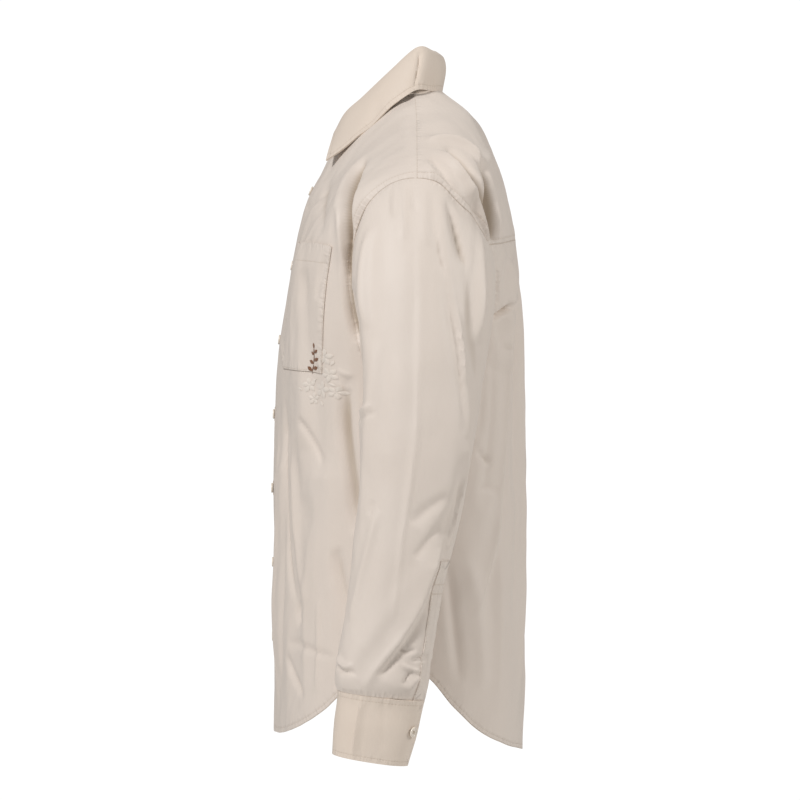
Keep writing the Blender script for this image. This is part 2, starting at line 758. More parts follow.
def write_cloth(mesh, flat, seams, hollow):
    """Store the UV map, the seam attributes and the hollows, from values at the points."""
    corner_points = np.empty(len(mesh.loops), int)
    mesh.loops.foreach_get("vertex_index", corner_points)
    layer = mesh.uv_layers.new(name="cloth")
    layer.data.foreach_set("uv", flat[corner_points].astype(np.float32).ravel())
    for index, name in enumerate(SEAM_NAMES):
        values = np.tile(NO_SEAM, (len(mesh.vertices), 1))
        if index < len(seams):
            values = seams[index]
        attribute = mesh.attributes.new(name, "FLOAT_COLOR", "POINT")
        attribute.data.foreach_set("color", values.astype(np.float32).ravel())
    if hollow is not None:
        attribute = mesh.attributes.new("hollow", "FLOAT", "POINT")
        depth = np.clip((-hollow - HOLLOW_START) / HOLLOW_RANGE, 0, 1)
        attribute.data.foreach_set("value", depth.astype(np.float32))


def make_wall(name, mesh, thickness, closed):
    """Merge a tube's seam, give the cloth its thickness and keep its rims sharp."""
    if closed:
        maker = bmesh.new()
        maker.from_mesh(mesh)
        bmesh.ops.remove_doubles(maker, verts=maker.verts[:], dist=1e-5)
        maker.to_mesh(mesh)
        maker.free()
    item = add_object(name, mesh)
    solidify = item.modifiers.new("wall", "SOLIDIFY")
    solidify.thickness = thickness
    solidify.offset = -1.0
    seen = item.evaluated_get(bpy.context.evaluated_depsgraph_get())
    item.data = bpy.data.meshes.new_from_object(seen)
    item.modifiers.clear()
    item.data.name = name
    item.data.shade_smooth()
    item.data.set_sharp_from_angle(angle=math.radians(65))
    return item


def make_cloth(name, points, outward, columns, rows, flat_size, seams, thickness, closed=False,
               hollow=None):
    """One piece: placed grid, UV map and seams, wall."""
    maker = bmesh.new()
    made = bmesh.ops.create_grid(maker, x_segments=columns, y_segments=rows, size=1.0)
    for vert, point in zip(made["verts"], points):
        vert.co = point
    maker.normal_update()
    facing = np.mean([outward[face.verts[0].index] @ np.array(face.normal)
                      for face in maker.faces])
    if facing < 0:
        bmesh.ops.reverse_faces(maker, faces=maker.faces[:])
    mesh = mesh_from(maker, name)
    u, v = grid_numbers(columns, rows)
    write_cloth(mesh, np.column_stack([u, v]) * flat_size, seams, hollow)
    return make_wall(name, mesh, thickness, closed)


def dress(item, node, material):
    """The piece takes the place of a plain wall of the frame."""
    item.data.materials.clear()
    item.data.materials.append(material)
    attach(item, "root")
    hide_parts(node)
    print(item.name, len(item.data.polygons), "faces")


print("attributes on each piece:", len(SEAM_NAMES))

# %% [markdown]
# Cotton poplin is woven very finely, so from a step away it looks smooth, with a soft sheen. Its
# surface shows in three sizes: the weave, small wrinkles, and the rows of stitches at seams with
# the puckers that they pull. Each is a node group that gives a height or a mask, so that the
# body's cloth and the collar's cloth can share them with their own strengths.

# %% Helpers for shader nodes
def feed(tree, node, values):
    """Give inputs of a node a value or a socket."""
    for key, value in values.items():
        if isinstance(value, bpy.types.NodeSocket):
            tree.links.new(value, node.inputs[key])
        else:
            node.inputs[key].default_value = value


def put(tree, kind, values=None, **settings):
    """Add a node, set its properties and feed its inputs."""
    node = tree.nodes.new(kind)
    for name, setting in settings.items():
        setattr(node, name, setting)
    feed(tree, node, values or {})
    return node


def new_material(name):
    """A material with its node tree and its shader."""
    material = bpy.data.materials.new(name)
    material.use_nodes = True
    tree = material.node_tree
    return material, tree, tree.nodes["Principled BSDF"]


def calc(tree, operation, *values):
    """A Math node on values or sockets. Gives its output socket."""
    return put(tree, "ShaderNodeMath", dict(enumerate(values)), operation=operation).outputs[0]


def ease(tree, value, low, high, start, end):
    """A smooth change from start to end while the value goes from low to high."""
    values = {"Value": value, "From Min": low, "From Max": high, "To Min": start, "To Max": end}
    node = put(tree, "ShaderNodeMapRange", values, interpolation_type="SMOOTHSTEP")
    return node.outputs["Result"]


def mix_colours(tree, factor, first, second):
    """One colour between two, by a factor."""
    node = put(tree, "ShaderNodeMix", {0: factor, 6: first, 7: second}, data_type="RGBA")
    return node.outputs[2]


def new_group(name, inputs, outputs):
    """An empty node group with named sockets, and its two end nodes."""
    group = bpy.data.node_groups.new(name, "ShaderNodeTree")
    for socket, kind in inputs:
        group.interface.new_socket(name=socket, in_out="INPUT", socket_type=kind)
    for socket, kind in outputs:
        group.interface.new_socket(name=socket, in_out="OUTPUT", socket_type=kind)
    start = group.nodes.new("NodeGroupInput")
    end = group.nodes.new("NodeGroupOutput")
    return group, start, end


print("node helpers are ready")

# %% Weave group
weave, weave_in, weave_out = new_group(
    "poplin_weave",
    [("Cloth UV", "NodeSocketVector"), ("Thread Pitch", "NodeSocketFloat")],
    [("Height", "NodeSocketFloat"), ("Slub", "NodeSocketFloat")],
)
parts = put(weave, "ShaderNodeSeparateXYZ", {0: weave_in.outputs["Cloth UV"]})
turns = calc(weave, "DIVIDE", math.tau, weave_in.outputs["Thread Pitch"])
warp = calc(weave, "SINE", calc(weave, "MULTIPLY", parts.outputs["X"], turns))
weft = calc(weave, "SINE", calc(weave, "MULTIPLY", parts.outputs["Y"], turns))
long_way = put(weave, "ShaderNodeVectorMath", {0: weave_in.outputs["Cloth UV"],
                                               1: (900.0, 60.0, 1.0)}, operation="MULTIPLY")
slub = put(weave, "ShaderNodeTexNoise", {"Vector": long_way.outputs[0], "Scale": 1.0,
                                         "Detail": 2.0})
feed(weave, weave_out, {"Height": calc(weave, "MULTIPLY", warp, weft),
                        "Slub": slub.outputs["Fac"]})
print("nodes in the weave:", len(weave.nodes))

# %% [markdown]
# A row of stitches is a thin line at a set distance from the seam, cut into dashes along it. The
# group reads one seam attribute: red is the distance, green the length along the seam, blue and
# alpha the places of two rows. The folded band under the rows stands a little proud, and the
# thread gathers the cloth into small puckers that die out away from the seam.

# %% Sewn seam group
sewn, sewn_in, sewn_out = new_group(
    "sewn_seam",
    [("Seam", "NodeSocketColor"), ("Second Row", "NodeSocketFloat")],
    [("Thread", "NodeSocketFloat"), ("Height", "NodeSocketFloat"), ("Shade", "NodeSocketFloat")],
)
seam_parts = put(sewn, "ShaderNodeSeparateColor", {0: sewn_in.outputs["Seam"]})
from_seam = seam_parts.outputs["Red"]
along_seam = seam_parts.outputs["Green"]
STITCH_PITCH = 0.0030


def stitch_row(place):
    """The line of one row and the shallow groove round it, where the row exists."""
    gap = calc(sewn, "ABSOLUTE", calc(sewn, "SUBTRACT", from_seam, place))
    exists = calc(sewn, "GREATER_THAN", place, 0.0002)
    line = calc(sewn, "MULTIPLY", ease(sewn, gap, 0.00018, 0.00045, 1.0, 0.0), exists)
    groove = calc(sewn, "MULTIPLY", ease(sewn, gap, 0.0, 0.0012, 1.0, 0.0), exists)
    return line, groove


second_place = sewn_in.outputs["Second Row"]
first_line, first_groove = stitch_row(seam_parts.outputs["Blue"])
second_line, second_groove = stitch_row(second_place)
beat = calc(sewn, "FRACT", calc(sewn, "DIVIDE", along_seam, STITCH_PITCH))
beat = calc(sewn, "ABSOLUTE", calc(sewn, "SUBTRACT", beat, 0.5))
dash = ease(sewn, beat, 0.30, 0.40, 1.0, 0.0)
thread = calc(sewn, "MULTIPLY", calc(sewn, "MAXIMUM", first_line, second_line), dash)
groove = calc(sewn, "MAXIMUM", first_groove, second_groove)
print("nodes for two rows of stitches:", len(sewn.nodes))

# %% Band and puckers of the seam
band_edge = calc(sewn, "ADD", second_place, 0.0014)
in_band = calc(sewn, "MULTIPLY", calc(sewn, "GREATER_THAN", second_place, 0.0002),
               calc(sewn, "GREATER_THAN", band_edge, from_seam))
past_edge = calc(sewn, "ABSOLUTE", calc(sewn, "SUBTRACT", from_seam, band_edge))
fold_line = calc(sewn, "MULTIPLY", ease(sewn, past_edge, 0.0, 0.0008, 1.0, 0.0),
                 calc(sewn, "GREATER_THAN", second_place, 0.0002))
joint = calc(sewn, "MULTIPLY", ease(sewn, from_seam, 0.0, 0.0011, 1.0, 0.0),
             calc(sewn, "GREATER_THAN", second_place, -0.5))
pucker_place = put(sewn, "ShaderNodeCombineXYZ", {
    0: calc(sewn, "MULTIPLY", along_seam, 210.0), 1: calc(sewn, "MULTIPLY", from_seam, 60.0)})
pucker = put(sewn, "ShaderNodeTexNoise", {"Vector": pucker_place.outputs[0], "Scale": 1.0,
                                          "Detail": 1.0})
pull = ease(sewn, from_seam, 0.001, 0.013, 0.0021, 0.0)
pucker_height = calc(sewn, "MULTIPLY", calc(sewn, "SUBTRACT", pucker.outputs["Fac"], 0.5), pull)
height = calc(sewn, "MULTIPLY_ADD", in_band, 0.0004, pucker_height)
height = calc(sewn, "MULTIPLY_ADD", groove, -0.00014, height)
height = calc(sewn, "MULTIPLY_ADD", thread, 0.00016, height)
height = calc(sewn, "MULTIPLY_ADD", joint, -0.0005, height)
shade = calc(sewn, "MAXIMUM", calc(sewn, "MULTIPLY", fold_line, 0.12), joint)
feed(sewn, sewn_out, {"Thread": thread, "Height": height, "Shade": shade})
print("nodes in the sewn seam:", len(sewn.nodes))

# %% Small wrinkles group
wrinkles, wrinkles_in, wrinkles_out = new_group(
    "small_wrinkles",
    [("Place", "NodeSocketVector"), ("Depth", "NodeSocketFloat")],
    [("Height", "NodeSocketFloat"), ("Tone", "NodeSocketFloat")],
)
bend = put(wrinkles, "ShaderNodeTexNoise", {"Vector": wrinkles_in.outputs["Place"],
                                            "Scale": 9.0, "Detail": 2.0})
bent = put(wrinkles, "ShaderNodeVectorMath", {0: bend.outputs["Color"], 1: (0.05, 0.05, 0.05),
                                              2: wrinkles_in.outputs["Place"]},
           operation="MULTIPLY_ADD")
upright = put(wrinkles, "ShaderNodeVectorMath", {0: bent.outputs[0], 1: (1.0, 1.0, 0.45)},
              operation="MULTIPLY")
crumple = put(wrinkles, "ShaderNodeTexNoise", {"Vector": upright.outputs[0], "Scale": 34.0,
                                               "Detail": 3.0, "Roughness": 0.5})
crumple_height = calc(wrinkles, "MULTIPLY", crumple.outputs["Fac"], wrinkles_in.outputs["Depth"])
feed(wrinkles, wrinkles_out, {"Height": crumple_height, "Tone": bend.outputs["Fac"]})
print("nodes in the wrinkles:", len(wrinkles.nodes))

# %% [markdown]
# The cloth itself: a warm cream that turns slightly browner where it is doubled and in the
# joints, a thread a shade darker than the cloth, and a soft sheen from the fine smooth yarn.

# %% Poplin material
CREAM = (0.775, 0.705, 0.645, 1.0)
WARM_CREAM = (0.725, 0.635, 0.560, 1.0)
FACING_CREAM = (0.775, 0.685, 0.60, 1.0)
WARM_FACING = (0.73, 0.62, 0.52, 1.0)
THREAD = (0.56, 0.45, 0.34, 1.0)
HOLLOW = (0.36, 0.28, 0.19, 1.0)
THREAD_PITCH = 0.0005
WEAVE_DEPTH = 0.000012


def make_poplin(name, cloth_colour, warm_colour, wrinkle_depth):
    """The cloth: weave, small wrinkles and rows of stitches on two close colours."""
    material, tree, shader = new_material(name)
    uv = put(tree, "ShaderNodeUVMap", uv_map="cloth").outputs["UV"]
    place = put(tree, "ShaderNodeTexCoord").outputs["Object"]
    cloth = put(tree, "ShaderNodeGroup", {"Cloth UV": uv, "Thread Pitch": THREAD_PITCH},
                node_tree=weave)
    small = put(tree, "ShaderNodeGroup", {"Place": place, "Depth": wrinkle_depth},
                node_tree=wrinkles)
    height = calc(tree, "MULTIPLY_ADD", cloth.outputs["Height"], WEAVE_DEPTH,
                  small.outputs["Height"])
    thread_mask, shade = 0.0, 0.0
    for seam_name in SEAM_NAMES:
        seam = put(tree, "ShaderNodeAttribute", attribute_name=seam_name)
        rows = put(tree, "ShaderNodeGroup", {"Seam": seam.outputs["Color"],
                                             "Second Row": seam.outputs["Alpha"]},
                   node_tree=sewn)
        height = calc(tree, "ADD", height, rows.outputs["Height"])
        thread_mask = calc(tree, "MAXIMUM", rows.outputs["Thread"], thread_mask)
        shade = calc(tree, "MAXIMUM", rows.outputs["Shade"], shade)
    tone = calc(tree, "MULTIPLY_ADD", small.outputs["Tone"], 0.5,
                calc(tree, "MULTIPLY", cloth.outputs["Slub"], 0.25))
    colour = mix_colours(tree, tone, cloth_colour, warm_colour)
    hollow = put(tree, "ShaderNodeAttribute", attribute_name="hollow").outputs["Fac"]
    for mask, strength, tint in ((hollow, 0.72, HOLLOW), (shade, 0.55, THREAD),
                                 (thread_mask, 0.5, THREAD)):
        colour = mix_colours(tree, calc(tree, "MULTIPLY", mask, strength), colour, tint)
    bump = put(tree, "ShaderNodeBump", {"Height": height, "Distance": 1.0, "Strength": 1.0})
    feed(tree, shader, {"Base Color": colour, "Normal": bump.outputs["Normal"],
                        "Roughness": 0.5, "Specular IOR Level": 0.35, "Sheen Weight": 0.15,
                        "Sheen Roughness": 0.45})
    print(name, "has", len(tree.nodes), "nodes")
    return material


poplin = make_poplin("cream_poplin", CREAM, WARM_CREAM, 0.0010)
facing_poplin = make_poplin("collar_and_cuff_poplin", FACING_CREAM, WARM_FACING, 0.0005)

# %% [markdown]
# The fronts, the back and the yoke. Their folds fade out at the sewn seams, where both edges
# have to meet, and run free to the hem. The right side has the same folds as the left, less
# deep, so that the two sides don't look copied.

# %% Seam lines of the body
def body_line(angles, levels):
    """Points of the body along angles and levels."""
    angles, levels = np.broadcast_arrays(np.asarray(angles, float), np.asarray(levels, float))
    return body_surface(angles, levels)


arm_parts = np.linspace(0, 1, 121)
arm_spots = ARMHOLE_SEAM.at(arm_parts)
armhole_line = body_line(arm_spots[:, 0], arm_spots[:, 1])
side_line = body_line(QUARTER, np.linspace(UNDERARM_LEVEL, hem_level(np.array(QUARTER)), 40))
front_arm = armhole_line[arm_parts <= SHOULDER_PART]
back_arm = armhole_line[arm_parts >= YOKE_PART]
yoke_arm = armhole_line[(arm_parts >= SHOULDER_PART - 0.01) & (arm_parts <= YOKE_PART + 0.01)]
front_side_line = np.concatenate([front_arm[::-1], side_line])
back_side_line = np.concatenate([back_arm, side_line])
shoulder_line = body_line(QUARTER, np.linspace(SHOULDER_LEVEL, NECK_LEVEL, 24))
yoke_spots = YOKE_SEAM.at(np.linspace(0, 1, 40))
yoke_line = body_line(yoke_spots[:, 0], yoke_spots[:, 1])
hem_angles = np.linspace(0, math.pi, 121)
hem_line = body_line(hem_angles, hem_level(hem_angles))
edge_levels = np.linspace(float(hem_level(np.array(0.0))), NECK_LEVEL, 90)
front_edge_line = body_line(edge_angle(edge_levels), edge_levels)
print("side seam in mm:", round(float(np.linalg.norm(np.diff(side_line, axis=0), axis=1).sum()
                                      * 1000)))

# %% Folds of the fronts
FRONT_CREASES = read_creases("""
drape at the arm | side | -558 -840, -634 -1036, -688 -1275, -699 -1601, -677 -1873, -634 -2145,
    -590 -2471 | 6 12 2 | 3.72
hollow along the arm seam | side | -567 -1780, -556 -2062, -513 -2344, -470 -2604, -437 -2799 | 7
    12 4 | -13
deep hollow at the arm | side | -480 -804, -556 -1000, -621 -1238, -632 -1520, -589 -1824, -545
    -2149 | 7 9 2 | -13
hollow by the sleeve | side | -614 -3166, -647 -3395, -647 -3723, -603 -4083, -537 -4541, -516
    -4923 | 11 14 4 | -8.06
second hollow by the sleeve | side | -756 -5064, -701 -5370, -636 -5654, -581 -5915 | 8 13 3 |
    -4.96
slanting crease | side | -1192 -3657, -1105 -3755, -1007 -3919, -897 -4148 | 4 5 1 | -3.41
long crease | side | -1338 -3450, -1349 -4002, -1338 -4554, -1316 -5051, -1272 -5437, -1184 -5702
    | 4 5 1 | -4.03
ridge by the crease | side | -1261 -3726, -1250 -4333, -1228 -4885, -1162 -5382, -1073 -5724 | 7 5
    1.5 | 2.79
line down to the hem | side | -1323 -6286, -1236 -6504, -1116 -6744 | 4 4 1 | -3.41
pressed line across | side | -1301 -6144, -1148 -6155, -952 -6210, -734 -6254 | 4 4 0.8 | -2.48
pressed line up | side | -941 -5632, -952 -6123, -974 -6668 | 6 3 0.8 | 2.17
small dent | side | -1159 -5697, -1181 -5806, -1159 -5937 | 4 4 1 | -2.48
pocket corner drag | side | -843 -1879, -908 -2086, -952 -2359 | 5 5 1.5 | -2.17
drag by the flowers | side | -745 -3123, -657 -3177, -570 -3188 | 4 4 1 | 1.08
second drag by the flowers | side | -756 -3275, -657 -3319, -570 -3308 | 4 4 1 | 0.93
chest hollow | side | -887 -963, -930 -1323, -908 -1683 | 9 9 3 | -3.41
chest drape | front | 1350 -1400, 1180 -2400, 1220 -3400 | 18 14 5 | 2.2
collar drag | front | 300 -1250, 650 -1280, 1100 -1050 | 9 9 3 | -1.8
middle fold | front | 450 -3600, 510 -4600, 420 -5800, 500 -7000 | 12 16 3 | 3.6
middle hollow | front | 780 -4000, 820 -5200, 730 -6800 | 12 12 4 | -3.2
button drag | front | 140 -2780, 500 -2880, 900 -3120 | 8 8 3 | 1.6
second button drag | front | 140 -4460, 450 -4380, 800 -4150 | 7 8 3 | 1.6
side fold | front | 1520 -4700, 1460 -5600, 1530 -6600 | 10 10 3 | 1.6
""")
print("creases of a front:", len(FRONT_CREASES))

# %% Folds of the back and the yoke
BACK_CREASES = read_creases("""
rim of the puff | side | 1117 -1760, 1051 -1914, 1007 -2155, 1018 -2353, 1073 -2440 | 9 5 1 | 2.17
foot of the puff | side | 1029 -2418, 1117 -2396, 1216 -2320 | 6 4 1 | 3.72
crease under the puff | side | 919 -2583, 1018 -2517, 1117 -2440, 1226 -2364 | 4 4 1 | -6.51
pleat | side | 1205 -2385, 1150 -2737, 1117 -3121, 1095 -3450, 1062 -3834, 1029 -4273, 996 -4712,
    930 -5118, 853 -5480, 733 -5842 | 6 9 1.2 | 4.34
hollow by the pleat | side | 971 -2848, 949 -3450, 916 -3997, 862 -4654 | 8 9 4 | -2.48
hollow by the sleeve | side | 894 -2684, 862 -3122, 829 -3559, 796 -3888 | 9 10 3 | -2.48
low hollow | side | 457 -5223, 511 -5693, 555 -6131, 599 -6535 | 9 9 4 | -3.41
low fold | side | 708 -5201, 796 -5857, 851 -6623 | 14 14 5 | 3.72
small crease | side | 774 -4008, 862 -4063, 949 -4150 | 4 5 1.5 | -2.33
second small crease | side | 796 -4424, 894 -4402, 993 -4446 | 4 5 1.5 | -1.71
middle pleat | back | 170 -1660, 180 -3000, 230 -5000, 280 -7100 | 6 11 0.8 | 2.6
middle of the pleat | back | 40 -1660, 40 -3200, 50 -5500 | 9 9 2 | -1.8
long fold | back | 700 -1900, 750 -3200, 680 -4800, 800 -6800 | 14 17 4 | 3.4
long hollow | back | 1030 -2400, 980 -4000, 1080 -6000 | 14 12 4 | -3.2
drag to the armhole | back | 1950 -2350, 1550 -2550, 1100 -2450 | 10 9 3 | 1.4
second drag | back | 2000 -3000, 1550 -3180, 1000 -3020 | 10 9 3 | -0.9
low side fold | back | 1500 -4600, 1430 -5600, 1500 -6900 | 12 12 4 | 2.8
""")
YOKE_CREASES = read_creases("""
light fold | side | 224 -618, 386 -596, 548 -618, 699 -704, 851 -877, 969 -1115 | 8 5 0.8 | 5.58
hollow under the light fold | side | 451 -672, 591 -823, 732 -1007, 851 -1191, 926 -1418, 959
    -1699 | 7 6 2 | -6.51
deep hollow | side | 810 -783, 908 -1000, 973 -1303, 983 -1759 | 7 8 2 | -11.8
second ridge | side | 344 -728, 495 -880, 647 -1075, 777 -1336, 864 -1585, 918 -1748 | 6 6 1.2 |
    6.2
second hollow | side | 279 -826, 420 -1021, 561 -1249 | 5 5 1.5 | -3.41
third ridge | side | 202 -888, 332 -1083, 440 -1223 | 5 5 1.5 | 2.48
across the shoulders | back | 1600 -900, 1000 -750, 400 -850 | 12 12 4 | 1.8
neck drag | back | 500 -200, 800 -700, 1300 -1200 | 10 12 4 | -1.8
yoke hollow | back | 300 -600, 450 -1100, 700 -1500 | 12 12 4 | -1.4
""")
print("creases of back and yoke:", len(BACK_CREASES), len(YOKE_CREASES))

# %% One piece of the body
LAP_SHIFT = 0.0014
LAP_FADE_X = (0.060, 0.030)
LAP_FADE_Y = (0.0, -0.03)
OTHER_SIDE = 0.75
HOLD_REACH = 0.007
BODY_WAVES = [(0.075, 0.0011, 0), (0.032, 0.0004, 50)]
LEFT_FRONT_SEED = 3


def lap_lift(points, side):
    """The left front lies over the right one along the buttons."""
    near = smooth_step(*LAP_FADE_X, np.abs(points[..., 0]))
    return near * smooth_step(*LAP_FADE_Y, points[..., 1]) * LAP_SHIFT * side


def ridges_on(points, outward, creases):
    """The drawn creases laid on a piece, ready to lift any point near it."""
    ridges = []
    for name, view, path, left, right, crest, height in creases:
        ridges.append((line_on(points, outward, view, path), left, right, crest, height))
    return ridges


def lift_by(points, outward, ridges):
    """Sum of all lifts at the points."""
    total = np.zeros(len(points))
    for ridge in ridges:
        total += fold_lift(points, outward, ridge)
    return total


def hold_at(points, lines):
    """0 on the sewn lines and 1 away from them."""
    free = np.ones(len(points))
    for line in lines:
        free = free * smooth_step(0.0, HOLD_REACH, nearest_on_line(points, line)[0])
    return free


def body_cloth(name, patch, columns, rows, creases, seams, held, flat_size, seed, side=1, lap=0):
    u, v = grid_numbers(columns, rows)
    spot = patch(u, v)
    points = body_surface(spot[..., 0], spot[..., 1])
    outward = body_normal(spot[..., 0], spot[..., 1])
    half = np.where(points[:, :1] < -1e-6, -1.0, 1.0) * np.array([1, 0, 0]) + np.array([0, 1, 1])
    left_points, left_outward = points * half, outward * half
    ridges = ridges_on(left_points, left_outward, creases)
    lift = lift_by(left_points, left_outward, ridges)
    lift = lift * np.where(half[:, 0] * side < 0, OTHER_SIDE, 1.0)
    hollow = with_waves(lift, points, seed, BODY_WAVES)
    lift = hollow * hold_at(left_points, held)
    if lap:
        lift = lift + lap_lift(points, lap)
    placed = points + outward * lift[:, None]
    values = [seam_values(left_points, seam) for seam in seams]
    mirror = np.array([side, 1, 1])
    item = make_cloth(name, placed * mirror, outward * mirror, columns, rows, flat_size, values,
                      WALL, hollow=hollow)
    return item, ridges


print("a piece of the body is described")

# %% Fronts
ROW_A, ROW_B, EDGE = 0.0016, 0.0075, -1.0
front_held = [front_side_line, shoulder_line]
front_seams = [(front_side_line, 0.0, ROW_B), (front_edge_line, 0.0050, 0.0290),
               (hem_line, 0.0, 0.0045)]
for name, side, seed in (("left", 1, LEFT_FRONT_SEED), ("right", -1, 8)):
    front, ridges = body_cloth("front_" + name + "_cloth", front_patch, 118, 210, FRONT_CREASES,
                               front_seams, front_held, (0.33, 0.74), seed, side, side)
    dress(front, "front_" + name, poplin)
    if side > 0:
        left_ridges = ridges

# %% Back and yoke
back_seams = [(back_side_line, 0.0, 0.0), (yoke_line, 0.0, 0.0), (hem_line, 0.0, 0.0045)]
back, _ = body_cloth("back_cloth", halves(back_patch), 196, 186, BACK_CREASES, back_seams,
                     [back_side_line, yoke_line], (0.62, 0.58), 12)
dress(back, "back", poplin)
yoke_seams = [(yoke_arm, 0.0, ROW_B), (yoke_line, 0.0, 0.0050), (shoulder_line, 0.0008, EDGE)]
yoke, _ = body_cloth("yoke_cloth", halves(yoke_patch), 200, 84, YOKE_CREASES, yoke_seams,
                     [yoke_arm, yoke_line, shoulder_line], (0.52, 0.18), 21)
dress(yoke, "yoke", poplin)

# %% [markdown]
# A sleeve is a tube whose top is cut as a cap, so that it turns over the shoulder. Its rings
# start on the armhole, leave it in directions read from a table, and pass into plain sections
# down to the cuff. Long folds run down it, and one deep fold crosses it towards the cuff.

# %% Sections of the sleeve
SLEEVE = Table(
    "name depth centre_x centre_y half_x half_y square tilt",
    [
        ("cap end", 0.405, 0.276, 0.0110, 0.054, 0.0590, 2.2, 0.0),
        ("upper arm", 0.440, 0.279, 0.0080, 0.052, 0.0570, 2.2, 0.0),
        ("elbow", 0.488, 0.284, -0.0005, 0.049, 0.0540, 2.2, 0.0),
        ("below elbow", 0.530, 0.287, -0.0080, 0.046, 0.0500, 2.2, -0.05),
        ("forearm", 0.575, 0.289, -0.0155, 0.044, 0.0488, 2.2, -0.080),
        ("low forearm", 0.615, 0.289, -0.0220, 0.043, 0.0492, 2.2, -0.100),
        ("above the cuff", 0.642, 0.288, -0.0255, 0.041, 0.0480, 2.2, -0.110),
        ("cuff seam", 0.6563, 0.287, -0.0263, 0.0362, 0.0455, 2.1, -0.110),
        ("cuff middle", 0.690, 0.286, -0.0320, 0.0350, 0.0430, 2.1, -0.153),
        ("cuff end", 0.7240, 0.285, -0.0380, 0.0335, 0.0390, 2.1, -0.153),
    ],
)
CAP_DEPTH = 0.405
CUFF_DEPTH = 0.6563
CUFF_END_DEPTH = 0.7240
SLIT_DEPTH = 0.512
ARRIVE_STEP = 0.01
SLEEVE_GAP = -0.0004
CAP = Table(
    "name degrees out forward down leave arrive",
    [
        ("under, from behind", -180, 0.66, 0.0, 0.75, 0.048, 0.050),
        ("behind", -90, 0.93, 0.05, 0.36, 0.192, 0.150),
        ("outer line", 0, 0.76, 0.0, 0.65, 0.240, 0.230),
        ("in front", 90, 0.93, -0.05, 0.36, 0.192, 0.150),
        ("under, from the front", 180, 0.66, 0.0, 0.75, 0.048, 0.050),
    ],
)


def sleeve_section(turn, depth):
    """Points of the plain sleeve below its cap; turn 0 is the outer line."""
    row = SLEEVE.at(depth)
    across, along = np.cos(turn), np.sin(turn)
    power = row["square"]
    reach = (np.abs(across) ** power + np.abs(along) ** power) ** (-1 / power)
    x = row["centre_x"] + row["half_x"] * reach * across
    swing = -row["half_y"] * reach * along
    return np.stack([x, row["centre_y"] + swing, -depth + row["tilt"] * swing], axis=-1)


def sleeve_turn(part):
    """Turn round the arm that meets a length along the armhole."""
    front = math.pi * (1 - part / SHOULDER_PART)
    back = -math.pi * (part - SHOULDER_PART) / (1 - SHOULDER_PART)
    return np.where(part < SHOULDER_PART, front, back)


def armhole_part(column):
    """Length along the armhole at a column of the sleeve, matched to the body's rows."""
    counts = np.cumsum([0, FRONT_ARMHOLE_ROWS, YOKE_ROWS, BACK_ARMHOLE_ROWS])
    return np.interp(column, counts / counts[-1], [0, SHOULDER_PART, YOKE_PART, 1])


print("sleeve half width at the cuff in mm:", round(float(SLEEVE.at(0.656)["half_y"]) * 1000))

# %% Sleeve surface
SLEEVE_FOLD_FADE = 0.7
SLEEVE_FOLDS = [
    ("outer hollow", -28, 0.13, 0.50, 10, 13, -0.0015),
    ("outer ridge", -6, 0.12, 0.52, 8, 12, 0.0010),
    ("front hollow", 38, 0.14, 0.40, -8, 14, -0.0025),
    ("back ridge", -60, 0.16, 0.46, 12, 14, 0.0012),
    ("elbow hollow", -72, 0.40, 0.52, 30, 14, -0.0050),
    ("forearm ridge", -40, 0.50, 0.645, 95, 15, 0.0018),
    ("forearm hollow", -66, 0.53, 0.645, 95, 13, -0.0015),
    ("under hollow", 150, 0.36, 0.60, -20, 18, -0.0040),
    ("under ridge", -150, 0.36, 0.60, 20, 18, 0.0030),
]
SLEEVE_BASE_STEPS = (0.004, 0.01)
ARM_STEPS = (0.01, 0.002)


def sleeve_base(column, down):
    """Plain sleeve: column goes round from the underarm, down is 0 to 1 on the cap, then 2."""
    column = np.mod(column, 1.0)
    part = armhole_part(column)
    turn = sleeve_turn(part)
    spot = ARMHOLE_SEAM.at(part)
    start = body_surface(spot[..., 0], spot[..., 1])
    cap = CAP.at(np.degrees(turn))
    leave = np.stack([cap["out"], cap["forward"], -cap["down"]], axis=-1)
    leave = unit(leave)
    start = start + leave * SLEEVE_GAP
    end_depth = np.full(np.shape(turn), CAP_DEPTH)
    end = sleeve_section(turn, end_depth)
    arrive = (sleeve_section(turn, end_depth + ARRIVE_STEP) - end) / ARRIVE_STEP
    part_down = np.clip(down, 0, 1)[..., None]
    top = hermite(start, end, leave * cap["leave"][..., None],
                  arrive * cap["arrive"][..., None], part_down)
    depth = CAP_DEPTH + (CUFF_DEPTH - SEAM_GAP - CAP_DEPTH) * np.clip(down - 1, 0, 1)
    return np.where((down < 1)[..., None], top, sleeve_section(turn, depth))


def sleeve_relief(turn, depth):
    lift = np.zeros(np.shape(turn))
    for _, at, start, end, drift, width, height in SLEEVE_FOLDS:
        part = np.clip((depth - start) / (end - start), 0, 1)
        away = np.abs(np.degrees(turn) - at - drift * part)
        away = np.minimum(away, 360 - away)
        bump = height * np.exp(-((away / width) ** 2))
        lift = lift + bump * (4 * part * (1 - part)) ** SLEEVE_FOLD_FADE
    return lift


def sleeve_surface(column, down):
    base = sleeve_base(column, down)
    normal = surface_normal(sleeve_base, column, down, SLEEVE_BASE_STEPS)
    turn = sleeve_turn(armhole_part(np.mod(column, 1.0)))
    return base - normal * sleeve_relief(turn, -base[..., 2])[..., None]


def forearm_surface(turn, depth):
    """The sleeve again, by turn and depth, for what lies on it."""
    base = sleeve_section(turn, depth)
    normal = surface_normal(sleeve_section, turn, depth, ARM_STEPS)
    return base + normal * sleeve_relief(turn, -base[..., 2])[..., None]


print("large folds of a sleeve:", len(SLEEVE_FOLDS))

